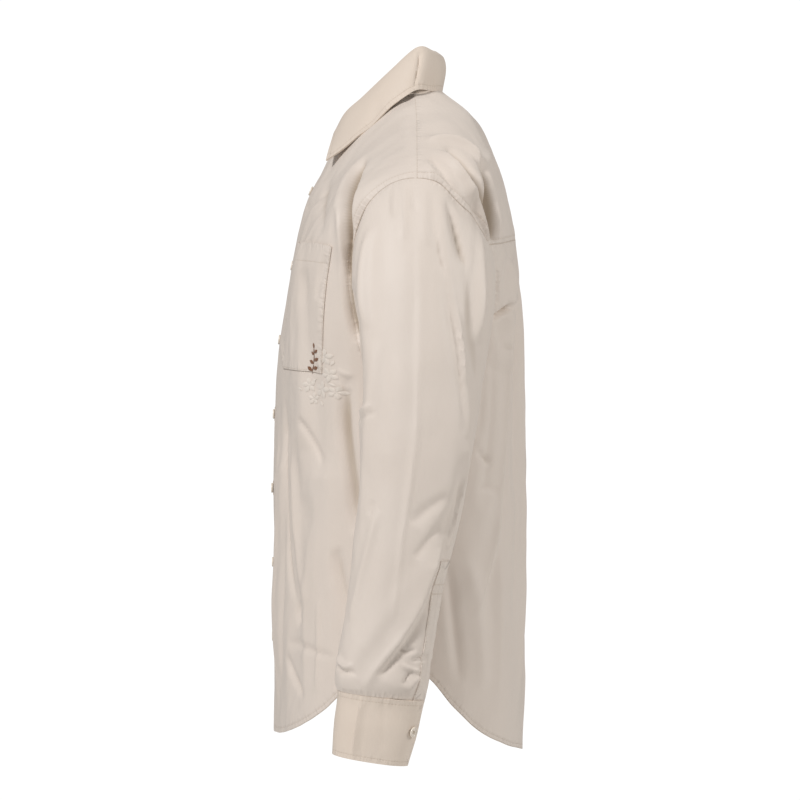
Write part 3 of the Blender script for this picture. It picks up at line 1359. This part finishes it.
# %% Folds of the sleeves
SLEEVE_CREASES = read_creases("""
swell behind the front seam | side | -352 -1578, -436 -1894, -457 -2293, -415 -2714 | 7 8 2.5 |
    4.03
front ridge | side | -330 -2821, -372 -3450, -403 -3974, -466 -4708 | 12 10 3 | 2.48
first gather | side | -120 -1123, -120 -1312, -131 -1521 | 4 4 1.2 | -2.02
gather ridge | side | -16 -1165, -16 -1459, -26 -1773 | 5 5 1.5 | 2.33
second gather | side | 68 -1123, 68 -1291, 79 -1479 | 4 4 1.2 | -2.02
middle ridge | side | 194 -1186, 205 -1479, 225 -1825 | 5 6 1.2 | 2.79
long valley | side | 299 -1207, 320 -1511, 362 -1857, 456 -2297, 550 -2821, 603 -3345, 645 -3817 |
    5 15 0.8 | -4.03
ridge behind the valley | side | 372 -2004, 488 -2402, 592 -2821, 645 -3293 | 8 6 1.5 | 2.79
short valley | side | 456 -1312, 519 -1511, 582 -1742, 645 -2004 | 4 10 0.8 | -4.03
back ridge | side | 760 -1500, 802 -1878, 812 -2402, 771 -2874 | 7 8 2 | 3.72
pressed line | side | 152 -1406, 163 -1983, 163 -2821, 142 -3660, 68 -4289, -16 -4813, -57 -5232,
    -99 -5567, -162 -5861 | 4 9 0.4 | 2.33
light streak in front | side | -288 -4582, -393 -4970, -498 -5389, -592 -5777 | 7 9 2 | 2.79
elbow hollow | side | 68 -4750, 205 -4613, 341 -4519, 456 -4456 | 9 10 3 | -2.79
second elbow hollow | side | 100 -5106, 194 -4970, 299 -4834, 372 -4771 | 5 10 2 | -2.48
slanting fold | side | 393 -4844, 330 -5075, 246 -5316, 163 -5536, 58 -5745, -78 -5966, -246
    -6186, -435 -6448 | 8 18 1.6 | 6.82
under the slanting fold | side | 194 -5672, 47 -5924, -120 -6133, -288 -6343 | 14 6 3 | -3.72
line in the shade | side | 5 -5903, -131 -6091, -267 -6270 | 3 3 0.6 | 3.1
first crumple | side | -68 -6049, 16 -6070, 110 -6039 | 3 4 0.8 | -2.67
second crumple | side | 58 -6175, 142 -6144, 236 -6133 | 3 4 0.8 | -2.9
third crumple | side | -26 -6427, 26 -6343, 79 -6259 | 4 3 0.8 | -2.9
fourth crumple | side | 37 -6490, 79 -6406, 152 -6343 | 4 3 0.8 | 2.42
fifth crumple | side | -37 -6196, 47 -6259, 152 -6280 | 3 3 0.8 | 2.17
pinch over the cuff | side | -728 -6249, -644 -6301, -561 -6290, -498 -6332 | 4 4 1 | -2.79
ridge over the pinch | side | -718 -6175, -634 -6228, -540 -6217 | 4 4 1 | 3.1
small wrinkle | side | -508 -3607, -435 -3544, -330 -3502 | 3 5 1 | 2.17
second small wrinkle | side | -477 -3681, -393 -3618, -288 -3576 | 3 3 1 | -1.24
dimple | side | -330 -4498, -361 -4572, -372 -4666 | 4 4 1.5 | -1.4
rolled back edge | side | 666 -3869, 603 -4289, 508 -4708, 425 -5085 | 5 7 1 | 3.72
hollow behind the long fold | side | 603 -1500, 645 -1878, 708 -2402, 760 -2926, 791 -3502 | 15 27
    5 | -4.19
crease by the back edge | side | 582 -4247, 498 -4687, 404 -5022 | 3 3 0.8 | -1.86
front edge tucked under | front | 2360 -2250, 2520 -2580, 2640 -2900, 2700 -3250, 2740 -3680 | 30
    30 10 | -12.5
front edge tucked again | front | 2500 -2400, 2620 -2700, 2700 -3000, 2750 -3220 | 22 24 8 | -6
inner long fold | inner | -200 -4000, -120 -5000, -250 -6100 | 12 10 3 | 2.8
inner elbow crease | inner | 350 -3950, 0 -4300, -350 -4200 | 8 8 2 | -3.2
second elbow crease | inner | 300 -4500, -50 -4750, -400 -4600 | 8 8 2 | -2.2
inner forearm fold | inner | 120 -5000, -200 -5600, -500 -6300 | 9 9 2 | 2.6
""")
print("creases of a sleeve:", len(SLEEVE_CREASES))

# %% Sleeves
SLEEVE_COLUMNS, SLEEVE_ROWS = 166, 238
CAP_SHARE = 0.44
SLEEVE_WAVES = [(0.06, 0.0009, 0), (0.026, 0.00035, 50)]
FULLNESS, FULLNESS_Z, FULLNESS_WIDTH = 0.0015, 0.012, 0.011
SLEEVE_SIDES = (("left", 1, 31, 1.0), ("right", -1, 37, OTHER_SIDE))
sleeve_u, sleeve_v = grid_numbers(SLEEVE_COLUMNS, SLEEVE_ROWS)
sleeve_down = np.interp(sleeve_v, [0, CAP_SHARE, 1], [0, 1, 2])
sleeve_points = sleeve_surface(sleeve_u, sleeve_down)
sleeve_outward = -surface_normal(sleeve_surface, sleeve_u, sleeve_down, (0.006, 0.015))
sleeve_ridges = ridges_on(sleeve_points, sleeve_outward, SLEEVE_CREASES)
cuff_seam_line = sleeve_section(np.linspace(-math.pi, math.pi, 81), np.full(81, CUFF_DEPTH))
under_line = sleeve_surface(np.zeros(60), np.linspace(0, 2, 60))
print("sleeve length in mm:", round(float(np.linalg.norm(np.diff(
    sleeve_surface(np.full(80, 0.5), np.linspace(0, 2, 80)), axis=0), axis=1).sum() * 1000)))


def sleeve_lift(points, outward, seed, share):
    """Creases, uneven waves and the fullness over the cuff, held at the seams."""
    lift = lift_by(points, outward, sleeve_ridges) * share
    lift = with_waves(lift, points, seed, SLEEVE_WAVES)
    over_cuff = points[:, 2] + CUFF_DEPTH
    lift = lift + FULLNESS * np.exp(-((over_cuff - FULLNESS_Z) / FULLNESS_WIDTH) ** 2)
    return lift * hold_at(points, [armhole_line, cuff_seam_line])


for name, side, seed, share in SLEEVE_SIDES:
    lift = sleeve_lift(sleeve_points, sleeve_outward, seed, share)
    placed = sleeve_points + sleeve_outward * lift[:, None]
    mirror = np.array([side, 1, 1])
    seams = [(armhole_line, 0.0, 0.0), (cuff_seam_line, 0.0, 0.0), (under_line, ROW_A, ROW_B)]
    values = [seam_values(sleeve_points, seam) for seam in seams]
    sleeve = make_cloth("sleeve_" + name + "_cloth", placed * mirror, sleeve_outward * mirror,
                        SLEEVE_COLUMNS, SLEEVE_ROWS, (0.36, 0.60), values, WALL, closed=True,
                        hollow=lift)
    dress(sleeve, "sleeve_" + name, poplin)

# %% [markdown]
# The strip at the sleeve's slit and the cuff lie on the sleeve's own sections, moved out. The
# cuff goes once round the wrist, and its outer end laps over the inner one.

# %% Strips at the sleeve slits
PLACKET_DEGREES = -64
PLACKET_HALF_WIDTH = 0.012
STRIP_COLUMNS, STRIP_ROWS = 10, 60
BOX_ROWS = (10, 14)
STRIP_LIFT = 0.0010


def outline_of(columns, rows, points):
    """The rim of a grid of points, as a closed line."""
    net = points.reshape(rows + 1, columns + 1, 3)
    return np.concatenate([net[0], net[1:, -1], net[-1, -2::-1], net[-2::-1, 0]])


def strip_points(columns, rows):
    """Points and normals of the strip, a little over the folded sleeve."""
    u, v = grid_numbers(columns, rows)
    depth = SLIT_DEPTH + (CUFF_DEPTH - 0.0004 - SLIT_DEPTH) * v
    arm = SLEEVE.at(depth)
    spread = np.degrees(PLACKET_HALF_WIDTH / ((arm["half_x"] + arm["half_y"]) / 2))
    turn = np.radians(PLACKET_DEGREES + spread * (2 * u - 1))
    under = forearm_surface(turn, depth)
    return under, surface_normal(forearm_surface, turn, depth, ARM_STEPS)


strip_under, strip_outward = strip_points(STRIP_COLUMNS, STRIP_ROWS)
box_lines = [strip_under.reshape(STRIP_ROWS + 1, STRIP_COLUMNS + 1, 3)[row] for row in BOX_ROWS]
for name, side, seed, share in SLEEVE_SIDES:
    lift = sleeve_lift(strip_under, strip_outward, seed, share) + STRIP_LIFT
    lift = lift + soft_waves(strip_under, 0.014, seed + 9, 1.0) * 0.0004
    placed = strip_under + strip_outward * lift[:, None]
    mirror = np.array([side, 1, 1])
    seams = [(outline_of(STRIP_COLUMNS, STRIP_ROWS, strip_under), 0.0010, EDGE)]
    seams += [(line, 0.0004, EDGE) for line in box_lines]
    values = [seam_values(strip_under, seam) for seam in seams]
    strip = make_cloth("sleeve_strip_" + name, placed * mirror, strip_outward * mirror,
                       STRIP_COLUMNS, STRIP_ROWS, (0.024, 0.144), values, WALL)
    dress(strip, "sleeve_placket_" + name, poplin)

# %% Cuffs
CUFF_START_DEGREES = -38
CUFF_LAP_DEGREES = 38
CUFF_LAP_LIFT = CUFF_WALL + 0.0004
CUFF_COLUMNS, CUFF_ROWS = 200, 24
CUFF_CREASES = read_creases("""
pressed line | side | -435 -6458, -477 -6699, -519 -6961, -550 -7223 | 8 3 0.2 | 3.72
soft dent | side | -215 -6594, -236 -6856, -225 -7118 | 8 8 3 | -1.24
""")


def cuff_surface(turn_degrees, depth, out):
    turn = np.radians(turn_degrees)
    base = sleeve_section(turn, depth)
    normal = surface_normal(sleeve_section, turn, depth, ARM_STEPS)
    return base + normal * out[..., None]


cuff_u, cuff_v = grid_numbers(CUFF_COLUMNS, CUFF_ROWS)
cuff_turn = CUFF_START_DEGREES - (360 + CUFF_LAP_DEGREES) * cuff_u
cuff_depth = CUFF_DEPTH - 0.0005 + (CUFF_END_DEPTH - CUFF_DEPTH + 0.0005) * cuff_v
cuff_lap = CUFF_LAP_DEGREES / (360 + CUFF_LAP_DEGREES)
cuff_out = CUFF_LAP_LIFT * smooth_step(1 - 2.2 * cuff_lap, 1 - 1.1 * cuff_lap, cuff_u) + 0.0004
cuff_points = cuff_surface(cuff_turn, cuff_depth, cuff_out)
cuff_outward = unit(cuff_surface(cuff_turn, cuff_depth, cuff_out + 0.001) - cuff_points)
cuff_flat = np.column_stack([cuff_u * 0.27, cuff_v * 0.068, cuff_u * 0])
cuff_ridges = ridges_on(cuff_points, cuff_outward, CUFF_CREASES)
for name, side, seed in (("left", 1, 61), ("right", -1, 67)):
    lift = lift_by(cuff_points, cuff_outward, cuff_ridges)
    lift = lift + soft_waves(cuff_points, 0.05, seed, 1.0) * 0.0003
    placed = cuff_points + cuff_outward * lift[:, None]
    mirror = np.array([side, 1, 1])
    rim = outline_of(CUFF_COLUMNS, CUFF_ROWS, cuff_flat)
    values = [seam_values(cuff_flat, (rim, 0.0050, EDGE))]
    cuff = make_cloth("cuff_" + name + "_cloth", placed * mirror, cuff_outward * mirror,
                      CUFF_COLUMNS, CUFF_ROWS, (0.27, 0.068), values, CUFF_WALL)
    dress(cuff, "cuff_" + name, facing_poplin)

# %% [markdown]
# The collar has two parts: a stand round the neck, and a leaf that folds over the stand's top
# and lies down on the shoulders. Its edge is stitched 6 mm in.

# %% Collar surfaces
COLLAR = Table(
    "name place fold_x fold_y fold_z edge_x edge_y edge_z",
    [
        ("back middle", 0.00, 0.000, 0.0405, 0.0515, 0.000, 0.0460, 0.0100),
        ("back quarter", 0.20, 0.040, 0.0320, 0.0510, 0.048, 0.0390, 0.0080),
        ("side", 0.42, 0.0655, 0.0100, 0.0500, 0.0840, 0.0120, 0.0062),
        ("side front", 0.56, 0.0630, -0.0170, 0.0260, 0.0895, -0.0130, -0.0090),
        ("front side", 0.74, 0.0500, -0.0480, -0.0020, 0.0905, -0.0400, -0.0370),
        ("front", 0.90, 0.0330, -0.0700, -0.0210, 0.0820, -0.0680, -0.0615),
        ("front end", 1.00, 0.0210, -0.0800, -0.0380, 0.0700, -0.0890, -0.0750),
    ],
)
STAND_CLEAR = 0.0011
STAND_PLACING = 0.92
STAND_SWELL = 0.0015
NECK_STEP = 0.1
COLLAR_STEPS = (0.004, 0.01)
LEAF_RISE = 0.0012
LEAF_ROLL = 0.0026
LEAF_ROLL_PART = 0.12
LEAF_SWELL = 0.0030


def collar_rows(place):
    """The collar's fold line and its leaf's edge at a place round the neck."""
    row = COLLAR.at(np.abs(place))
    turn = np.where(place < 0, -1.0, 1.0)
    fold = np.stack([row["fold_x"] * turn, row["fold_y"], row["fold_z"]], axis=-1)
    edge = np.stack([row["edge_x"] * turn, row["edge_y"], row["edge_z"]], axis=-1)
    return fold, edge


def leaf_surface(u, v):
    """The collar leaf, over the fold and down to its edge."""
    fold, edge = collar_rows(2 * u - 1)
    outward = edge - fold
    outward[..., 2] = 0
    outward = unit(outward)
    crest = fold + np.array([0, 0, LEAF_RISE])
    part = v[..., None]
    roll = LEAF_ROLL * np.sin(np.clip(part / LEAF_ROLL_PART, 0, 1) * QUARTER)
    swell = LEAF_SWELL * 4 * part * (1 - part)
    return crest + (edge - crest) * part + outward * (roll + swell)


def leaf_normal(u, v):
    return surface_normal(leaf_surface, u, v, COLLAR_STEPS)


def neck_point(place):
    """The neck seam of the body at a place from the back middle, 0, to the front end, 1."""
    end = edge_angle(np.array(NECK_LEVEL))
    angle = math.pi - (math.pi - end) * np.abs(place) ** STAND_PLACING
    level = np.full(np.shape(angle), NECK_LEVEL)
    point = body_base(angle, level)
    rise = point - body_base(angle, level - NECK_STEP)
    point = point + unit(rise) * STAND_CLEAR
    turn = np.where(place < 0, -1.0, 1.0)
    return np.stack([point[..., 0] * turn, point[..., 1], point[..., 2]], axis=-1)


def stand_surface(u, v):
    """The collar stand, from the neck seam up to the inner edge of the leaf's fold."""
    foot = neck_point(2 * u - 1)
    at_fold = np.zeros(np.shape(u))
    top = leaf_surface(u, at_fold) - leaf_normal(u, at_fold) * (COLLAR_WALL + SEAM_GAP)
    outward = top * np.array([1, 1, 0]) + np.array([0, 0.01, 0])
    outward = unit(outward)
    part = v[..., None]
    return foot + (top - foot) * part + outward * (STAND_SWELL * 4 * part * (1 - part))


def stand_normal(u, v):
    return -surface_normal(stand_surface, u, v, COLLAR_STEPS)


print("rows of the collar table:", len(COLLAR.keys))

# %% Collar
COLLAR_COLUMNS, LEAF_ROWS, STAND_ROWS = 150, 26, 14
COLLAR_CREASES = read_creases("""
bend at the back | side | 168 494, 157 292, 123 89 | 3.5 3.5 0.6 | -3.1
soft hollow | side | -283 -46, -373 -294, -486 -497 | 9 9 3 | -1.4
""")


def settle_leaf(points, u, v):
    """The leaf lies closer to the back and the shoulders, and its left point is further in."""
    low = smooth_step(0.15, 1.0, v)
    back = smooth_step(-0.01, 0.045, points[:, 1])
    beside = smooth_step(-0.06, -0.01, points[:, 1]) * smooth_step(0.055, 0.03, points[:, 1])
    points[:, 1] += 0.0045 * smooth_step(0.2, 0.05, u) - 0.0055 * low * back
    points[:, 2] -= 0.0045 * low * beside
    return points


def collar_cloth(name, surface, normal, rows, creases, seams, held_wave, shift=None):
    """The leaf or the stand. A shift moves its points last."""
    u, v = grid_numbers(COLLAR_COLUMNS, rows)
    points, outward = surface(u, v), normal(u, v)
    lift = soft_waves(points, 0.06, 71, 1.0) * held_wave * smooth_step(0.0, 0.3, v)
    lift = lift + lift_by(points, outward, ridges_on(points, outward, creases))
    placed = points + outward * lift[:, None]
    values = [seam_values(points, seam) for seam in seams(points)]
    if shift:
        placed = shift(placed, u, v)
    return make_cloth(name, placed, outward, COLLAR_COLUMNS, rows, (0.42, 0.06), values,
                      COLLAR_WALL)


def leaf_seams(points):
    net = points.reshape(LEAF_ROWS + 1, COLLAR_COLUMNS + 1, 3)
    edge = np.concatenate([net[:, 0], net[-1], net[::-1, -1]])
    return [(edge, 0.0055, EDGE)]


def stand_seams(points):
    return [(points[:COLLAR_COLUMNS + 1], 0.0018, 0.0)]


leaf = collar_cloth("collar_leaf_cloth", leaf_surface, leaf_normal, LEAF_ROWS, COLLAR_CREASES,
                    leaf_seams, 0.0006, settle_leaf)
dress(leaf, "collar_leaf", facing_poplin)
stand = collar_cloth("collar_stand_cloth", stand_surface, stand_normal, STAND_ROWS, [],
                     stand_seams, 0.0)
dress(stand, "collar_stand", facing_poplin)

# %% [markdown]
# The pocket is a flat patch, stitched close to three of its edges. Its open top is turned in
# and stitched 20 mm down. It is made from the front's own points, folds and all, moved out.

# %% Points on the left front
POCKET = [
    ("top front", 0.068, -0.167),
    ("top side", 0.205, -0.179),
    ("bottom front", 0.068, -0.309),
    ("bottom side", 0.1765, -0.316),
]


def pocket_corners():
    x = np.array([row[1] for row in POCKET])
    z = np.array([row[2] for row in POCKET])
    level = np.interp(z, LEVELS.column("front_z"), LEVELS.keys)
    angle = np.arcsin(x / LEVELS.at(level)["side_x"])
    return find_on_body(x, z, [0, 2], angle, level)


def pocket_patch(u, v):
    angle, level = pocket_corners()
    corner = np.stack([angle, level], axis=-1)
    u1, v1 = u[..., None], v[..., None]
    top = corner[0] + (corner[1] - corner[0]) * u1
    bottom = corner[2] + (corner[3] - corner[2]) * u1
    return bottom + (top - bottom) * v1


def on_front(angle, level):
    """Points and normals of the folded left front."""
    points = body_surface(angle, level)
    outward = body_normal(angle, level)
    lift = lift_by(points, outward, left_ridges)
    lift = with_waves(lift, points, LEFT_FRONT_SEED, BODY_WAVES)
    lift = lift * hold_at(points, front_held) + lap_lift(points, 1)
    return points + outward * lift[:, None], outward


print("pocket corners in the table:", len(POCKET))

# %% Chest pocket
POCKET_ROWS, POCKET_COLUMNS = 60, 46
POCKET_LIFT, POCKET_SWELL = 0.0015, 0.0016
pocket_u, pocket_v = grid_numbers(POCKET_COLUMNS, POCKET_ROWS)
pocket_spot = pocket_patch(pocket_u, pocket_v)
pocket_under, pocket_outward = on_front(pocket_spot[..., 0], pocket_spot[..., 1])
pocket_swell = smooth_step(0.55, 1.0, pocket_v) * 4 * pocket_u * (1 - pocket_u)
pocket_out = POCKET_LIFT + POCKET_SWELL * pocket_swell
pocket_points = pocket_under + pocket_outward * pocket_out[:, None]
pocket_net = pocket_under.reshape(POCKET_ROWS + 1, POCKET_COLUMNS + 1, 3)
pocket_sides = np.concatenate([pocket_net[::-1, 0], pocket_net[0], pocket_net[:, -1]])
pocket_top = pocket_net[-1]
values = [seam_values(pocket_under, (pocket_sides, 0.0014, EDGE)),
          seam_values(pocket_under, (pocket_top, 0.0200, EDGE))]
pocket = make_cloth("chest_pocket_cloth", pocket_points, pocket_outward, POCKET_COLUMNS,
                    POCKET_ROWS, (0.135, 0.145), values, WALL)
dress(pocket, "chest_pocket", poplin)

# %% [markdown]
# Each button is a small turned disc with a rim, a dished middle and four holes, sewn on with
# thread through the holes. One is made with a boolean cut, and its mesh is placed ten times.

# %% Button material
def make_shell():
    """Shell: cloudy cream under a thin gloss."""
    material, tree, shader = new_material("cream_shell_button")
    place = put(tree, "ShaderNodeTexCoord").outputs["Object"]
    cloud = put(tree, "ShaderNodeTexNoise", {"Vector": place, "Scale": 180.0, "Detail": 2.0})
    colour = mix_colours(tree, cloud.outputs["Fac"], (0.86, 0.80, 0.72, 1.0),
                         (0.74, 0.66, 0.56, 1.0))
    feed(tree, shader, {"Base Color": colour, "Roughness": 0.25, "Coat Weight": 0.3})
    return material


def make_yarn(name, colour, rib_scale):
    """Thread laid side by side, with a fine uneven surface."""
    material, tree, shader = new_material(name)
    place = put(tree, "ShaderNodeTexCoord").outputs["Object"]
    ribs = put(tree, "ShaderNodeTexNoise", {"Vector": place, "Scale": rib_scale, "Detail": 2.0})
    bump = put(tree, "ShaderNodeBump", {"Height": ribs.outputs["Fac"], "Distance": 0.0004})
    feed(tree, shader, {"Base Color": colour, "Normal": bump.outputs["Normal"],
                        "Roughness": 0.45, "Sheen Weight": 0.3})
    return material


shell = make_shell()
sewing_thread = make_yarn("sewing_thread", (0.66, 0.55, 0.42, 1.0), 2500.0)
print("button materials:", shell.name, sewing_thread.name)

# %% One button
BUTTON_RADIUS = 0.0056
BUTTON_DEPTH = 0.0021
HOLE_PLACE = 0.0012
HOLE_RADIUS = 0.00055
PROFILE = [(0.0, -0.5), (0.86, -0.5), (1.0, -0.15), (1.0, 0.2), (0.93, 0.5), (0.80, 0.45),
           (0.68, 0.12), (0.0, 0.05)]


def turned_disc():
    """The button's half outline, spun round its axis."""
    maker = bmesh.new()
    verts = [maker.verts.new((BUTTON_RADIUS * out, 0.0, BUTTON_DEPTH * up)) for out, up in PROFILE]
    edges = [maker.edges.new(two) for two in zip(verts[:-1], verts[1:])]
    bmesh.ops.spin(maker, geom=verts + edges, cent=(0, 0, 0), axis=(0, 0, 1), angle=math.tau,
                   steps=32, use_merge=True)
    bmesh.ops.remove_doubles(maker, verts=maker.verts[:], dist=1e-6)
    bmesh.ops.recalc_face_normals(maker, faces=maker.faces[:])
    return mesh_from(maker, "button")


def four_holes():
    maker = bmesh.new()
    for x in (-HOLE_PLACE, HOLE_PLACE):
        for y in (-HOLE_PLACE, HOLE_PLACE):
            bmesh.ops.create_cone(maker, cap_ends=True, segments=10, radius1=HOLE_RADIUS,
                                  radius2=HOLE_RADIUS, depth=0.006,
                                  matrix=mathutils.Matrix.Translation((x, y, 0)))
    return mesh_from(maker, "holes")


disc = add_object("button", turned_disc())
holes = add_object("holes", four_holes())
cut = disc.modifiers.new("holes", "BOOLEAN")
cut.operation = "DIFFERENCE"
cut.object = holes
button_mesh = bpy.data.meshes.new_from_object(
    disc.evaluated_get(bpy.context.evaluated_depsgraph_get()))
button_mesh.shade_smooth()
button_mesh.set_sharp_from_angle(angle=math.radians(40))
for item in (disc, holes):
    bpy.data.objects.remove(item, do_unlink=True)
print("faces of a button:", len(button_mesh.polygons))

# %% Buttons in their places
FIRST_BUTTON_Z = -0.106
BUTTON_STEP = 0.085
FRONT_BUTTONS = 7
SEWN_LIFT = BUTTON_DEPTH / 2 + 0.0004


def turned_to(mesh, name, point, normal, lift):
    """A copy of a mesh, stood on a point of the cloth along its normal."""
    axis_z = unit(np.array(normal))
    axis_x = unit(np.cross([0.0, 0.3, 1.0], axis_z))
    turn = mathutils.Matrix(np.column_stack([axis_x, np.cross(axis_z, axis_x), axis_z]).tolist())
    place = mathutils.Matrix.Translation(np.array(point) + axis_z * lift) @ turn.to_4x4()
    copy = mesh.copy()
    copy.transform(place)
    return add_object(name, copy)


def thread_bars():
    """Two bars of thread over the four holes."""
    maker = bmesh.new()
    for x in (-HOLE_PLACE, HOLE_PLACE):
        place = mathutils.Matrix.Translation((x, 0, 0.00035)) @ mathutils.Matrix.Rotation(
            QUARTER, 4, "X")
        bmesh.ops.create_cone(maker, cap_ends=True, segments=8, radius1=0.0004, radius2=0.0004,
                              depth=2.4 * HOLE_PLACE, matrix=place)
    mesh = mesh_from(maker, "thread")
    mesh.shade_smooth()
    return mesh


thread_mesh = thread_bars()
thread_mesh.materials.append(sewing_thread)
button_mesh.materials.clear()
button_mesh.materials.append(shell)


def sew_button(node, point, normal):
    """A button in the place of one of the frame, with its thread."""
    button = turned_to(button_mesh, node + "_disc", point, normal, SEWN_LIFT)
    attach(button, "root")
    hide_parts(node)
    thread = turned_to(thread_mesh, node + "_thread", point, normal, SEWN_LIFT)
    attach(thread, "root")


def front_spot(x, z):
    """Points and normals of the folded left front at places across and up."""
    x, z = np.broadcast_arrays(np.asarray(x, float), np.asarray(z, float))
    level = np.interp(z, LEVELS.column("front_z"), LEVELS.keys)
    angle = np.arcsin(np.clip(x / LEVELS.at(level)["side_x"], -0.95, 0.95))
    angle, level = find_on_body(x, z, [0, 2], angle, level)
    return on_front(angle, level)


button_heights = FIRST_BUTTON_Z - BUTTON_STEP * np.arange(FRONT_BUTTONS)
button_points, button_normals = front_spot(np.zeros(FRONT_BUTTONS), button_heights)
for index in range(FRONT_BUTTONS):
    sew_button("button_front_%d" % (index + 1), button_points[index], button_normals[index])
collar_u, collar_v = np.array([0.012]), np.array([0.45])
sew_button("button_collar", stand_surface(collar_u, collar_v)[0],
           stand_normal(collar_u, collar_v)[0])
cuff_button = [np.array([CUFF_START_DEGREES - CUFF_LAP_DEGREES * 0.5]), np.array([0.687])]
cuff_point = cuff_surface(*cuff_button, np.array([CUFF_LAP_LIFT + 0.0008]))[0]
cuff_normal = cuff_point - cuff_surface(*cuff_button, np.zeros(1))[0]
for name, side in (("left", 1), ("right", -1)):
    flip = np.array([side, 1, 1])
    sew_button("button_cuff_" + name, cuff_point * flip, cuff_normal * flip)
print("buttons sewn on:", 10)

# %% [markdown]
# The buttonholes are narrow slots worked over with thread, standing upright on the front.

# %% Small pieces laid on the front
def laid_pieces(name, places, columns, rows, lift, material):
    """Several small patches in one piece, each from a map of its u and v to the front."""
    maker = bmesh.new()
    u, v = grid_numbers(columns, rows)
    for place in places:
        x, z, height = place(u, v)
        points, outward = front_spot(x, z)
        made = bmesh.ops.create_grid(maker, x_segments=columns, y_segments=rows, size=1.0)
        for vert, point in zip(made["verts"], points + outward * (lift + height)[:, None]):
            vert.co = point
    maker.normal_update()
    if sum(face.normal.y for face in maker.faces) > 0:
        bmesh.ops.reverse_faces(maker, faces=maker.faces[:])
    item = make_wall(name, mesh_from(maker, name), 0.0003, closed=False)
    item.data.materials.append(material)
    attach(item, "root")
    print(name, len(item.data.polygons), "faces")
    return item


def slot_at(height):
    """A buttonhole: two worked ridges side by side, standing on the placket."""
    def place(u, v):
        swell = 0.0003 * np.abs(np.sin(u * math.tau))
        return (u - 0.5) * 0.0026, height + (v - 0.5) * 0.0165, swell
    return place


laid_pieces("buttonholes", [slot_at(height) for height in button_heights], 6, 18, 0.0003,
            sewing_thread)

# %% [markdown]
# A small sprig is embroidered at the pocket's lower corner in brown, with flowers in the cloth's
# own colour round it. Every leaf and petal is a little pointed patch of satin stitch.

# %% Embroidery
POCKET_FOOT, POCKET_EDGE = -0.3150, 0.1770
brown_yarn = make_yarn("brown_embroidery", (0.20, 0.085, 0.035, 1.0), 1500.0)
cream_yarn = make_yarn("cream_embroidery", (0.80, 0.73, 0.66, 1.0), 1500.0)


def leaf_at(x, z, degrees, length, width):
    """A pointed leaf from its foot, standing at an angle."""
    def place(u, v):
        along = length * v
        across = width * (u - 0.5) * np.sin(math.pi * np.clip(v, 0.03, 0.97) ** 1.2)
        turn = math.radians(degrees)
        leaf_x = x + along * math.cos(turn) - across * math.sin(turn)
        leaf_z = z + along * math.sin(turn) + across * math.cos(turn)
        crown = 0.0005 * np.sin(math.pi * u) * np.sin(math.pi * v)
        over_pocket = np.where((leaf_z > POCKET_FOOT) & (leaf_x < POCKET_EDGE), 0.0015, 0.0)
        return leaf_x, leaf_z, crown + over_pocket
    return place


STEM = [(0.1600, -0.3165, 62, 0.012, 0.0016), (0.1655, -0.3060, 74, 0.011, 0.0015),
        (0.1685, -0.2955, 84, 0.008, 0.0013)]
SPRIG = [(0.1620, -0.3135, 140, 0.0080, 0.0044), (0.1635, -0.3110, 10, 0.0085, 0.0046),
         (0.1658, -0.3055, 150, 0.0078, 0.0042), (0.1672, -0.3025, 22, 0.0080, 0.0042),
         (0.1686, -0.2960, 145, 0.0066, 0.0036), (0.1692, -0.2940, 35, 0.0068, 0.0036),
         (0.1692, -0.2890, 88, 0.0066, 0.0034)]
laid_pieces("brown_sprig", [leaf_at(*leaf) for leaf in STEM + SPRIG], 6, 10, 0.0004, brown_yarn)


def flower(x, z, size, turn):
    """Five petals round a middle."""
    return [(x, z, turn + 72 * petal, size, size * 0.62) for petal in range(5)]


FLOWERS = [(0.1825, -0.298, 0.0095, 10), (0.1850, -0.3175, 0.0085, 40),
           (0.1740, -0.3335, 0.0100, 0), (0.1560, -0.3285, 0.0085, 25),
           (0.1890, -0.3370, 0.0078, 60), (0.1610, -0.3435, 0.0070, 15)]
petals = [petal for place in FLOWERS for petal in flower(*place)]
petals += [(0.1670, -0.322, 200, 0.009, 0.003), (0.1790, -0.311, 120, 0.008, 0.003),
           (0.1825, -0.326, 330, 0.008, 0.003), (0.1480, -0.334, 160, 0.008, 0.003),
           (0.1700, -0.345, 300, 0.008, 0.003), (0.1880, -0.308, 60, 0.007, 0.003)]
laid_pieces("cream_flowers", [leaf_at(*petal) for petal in petals], 6, 10, 0.0004, cream_yarn)

# %% [markdown]
# A pale round floor stands under the shirt, low enough to stay out of the side picture. The
# script last notes how far the dressed shirt reaches past the plain walls.

# %% Floor
FLOOR_Z = -1.03
floor_maker = bmesh.new()
bmesh.ops.create_circle(floor_maker, cap_ends=True, segments=96, radius=1.35)
for vert in floor_maker.verts:
    vert.co.z = FLOOR_Z
floor = add_object("studio_floor", mesh_from(floor_maker, "studio_floor"))
floor_material, floor_tree, floor_shader = new_material("pale_floor")
feed(floor_tree, floor_shader, {"Base Color": (0.88, 0.88, 0.87, 1.0), "Roughness": 0.8})
floor.data.materials.append(floor_material)
print("floor at", FLOOR_Z)
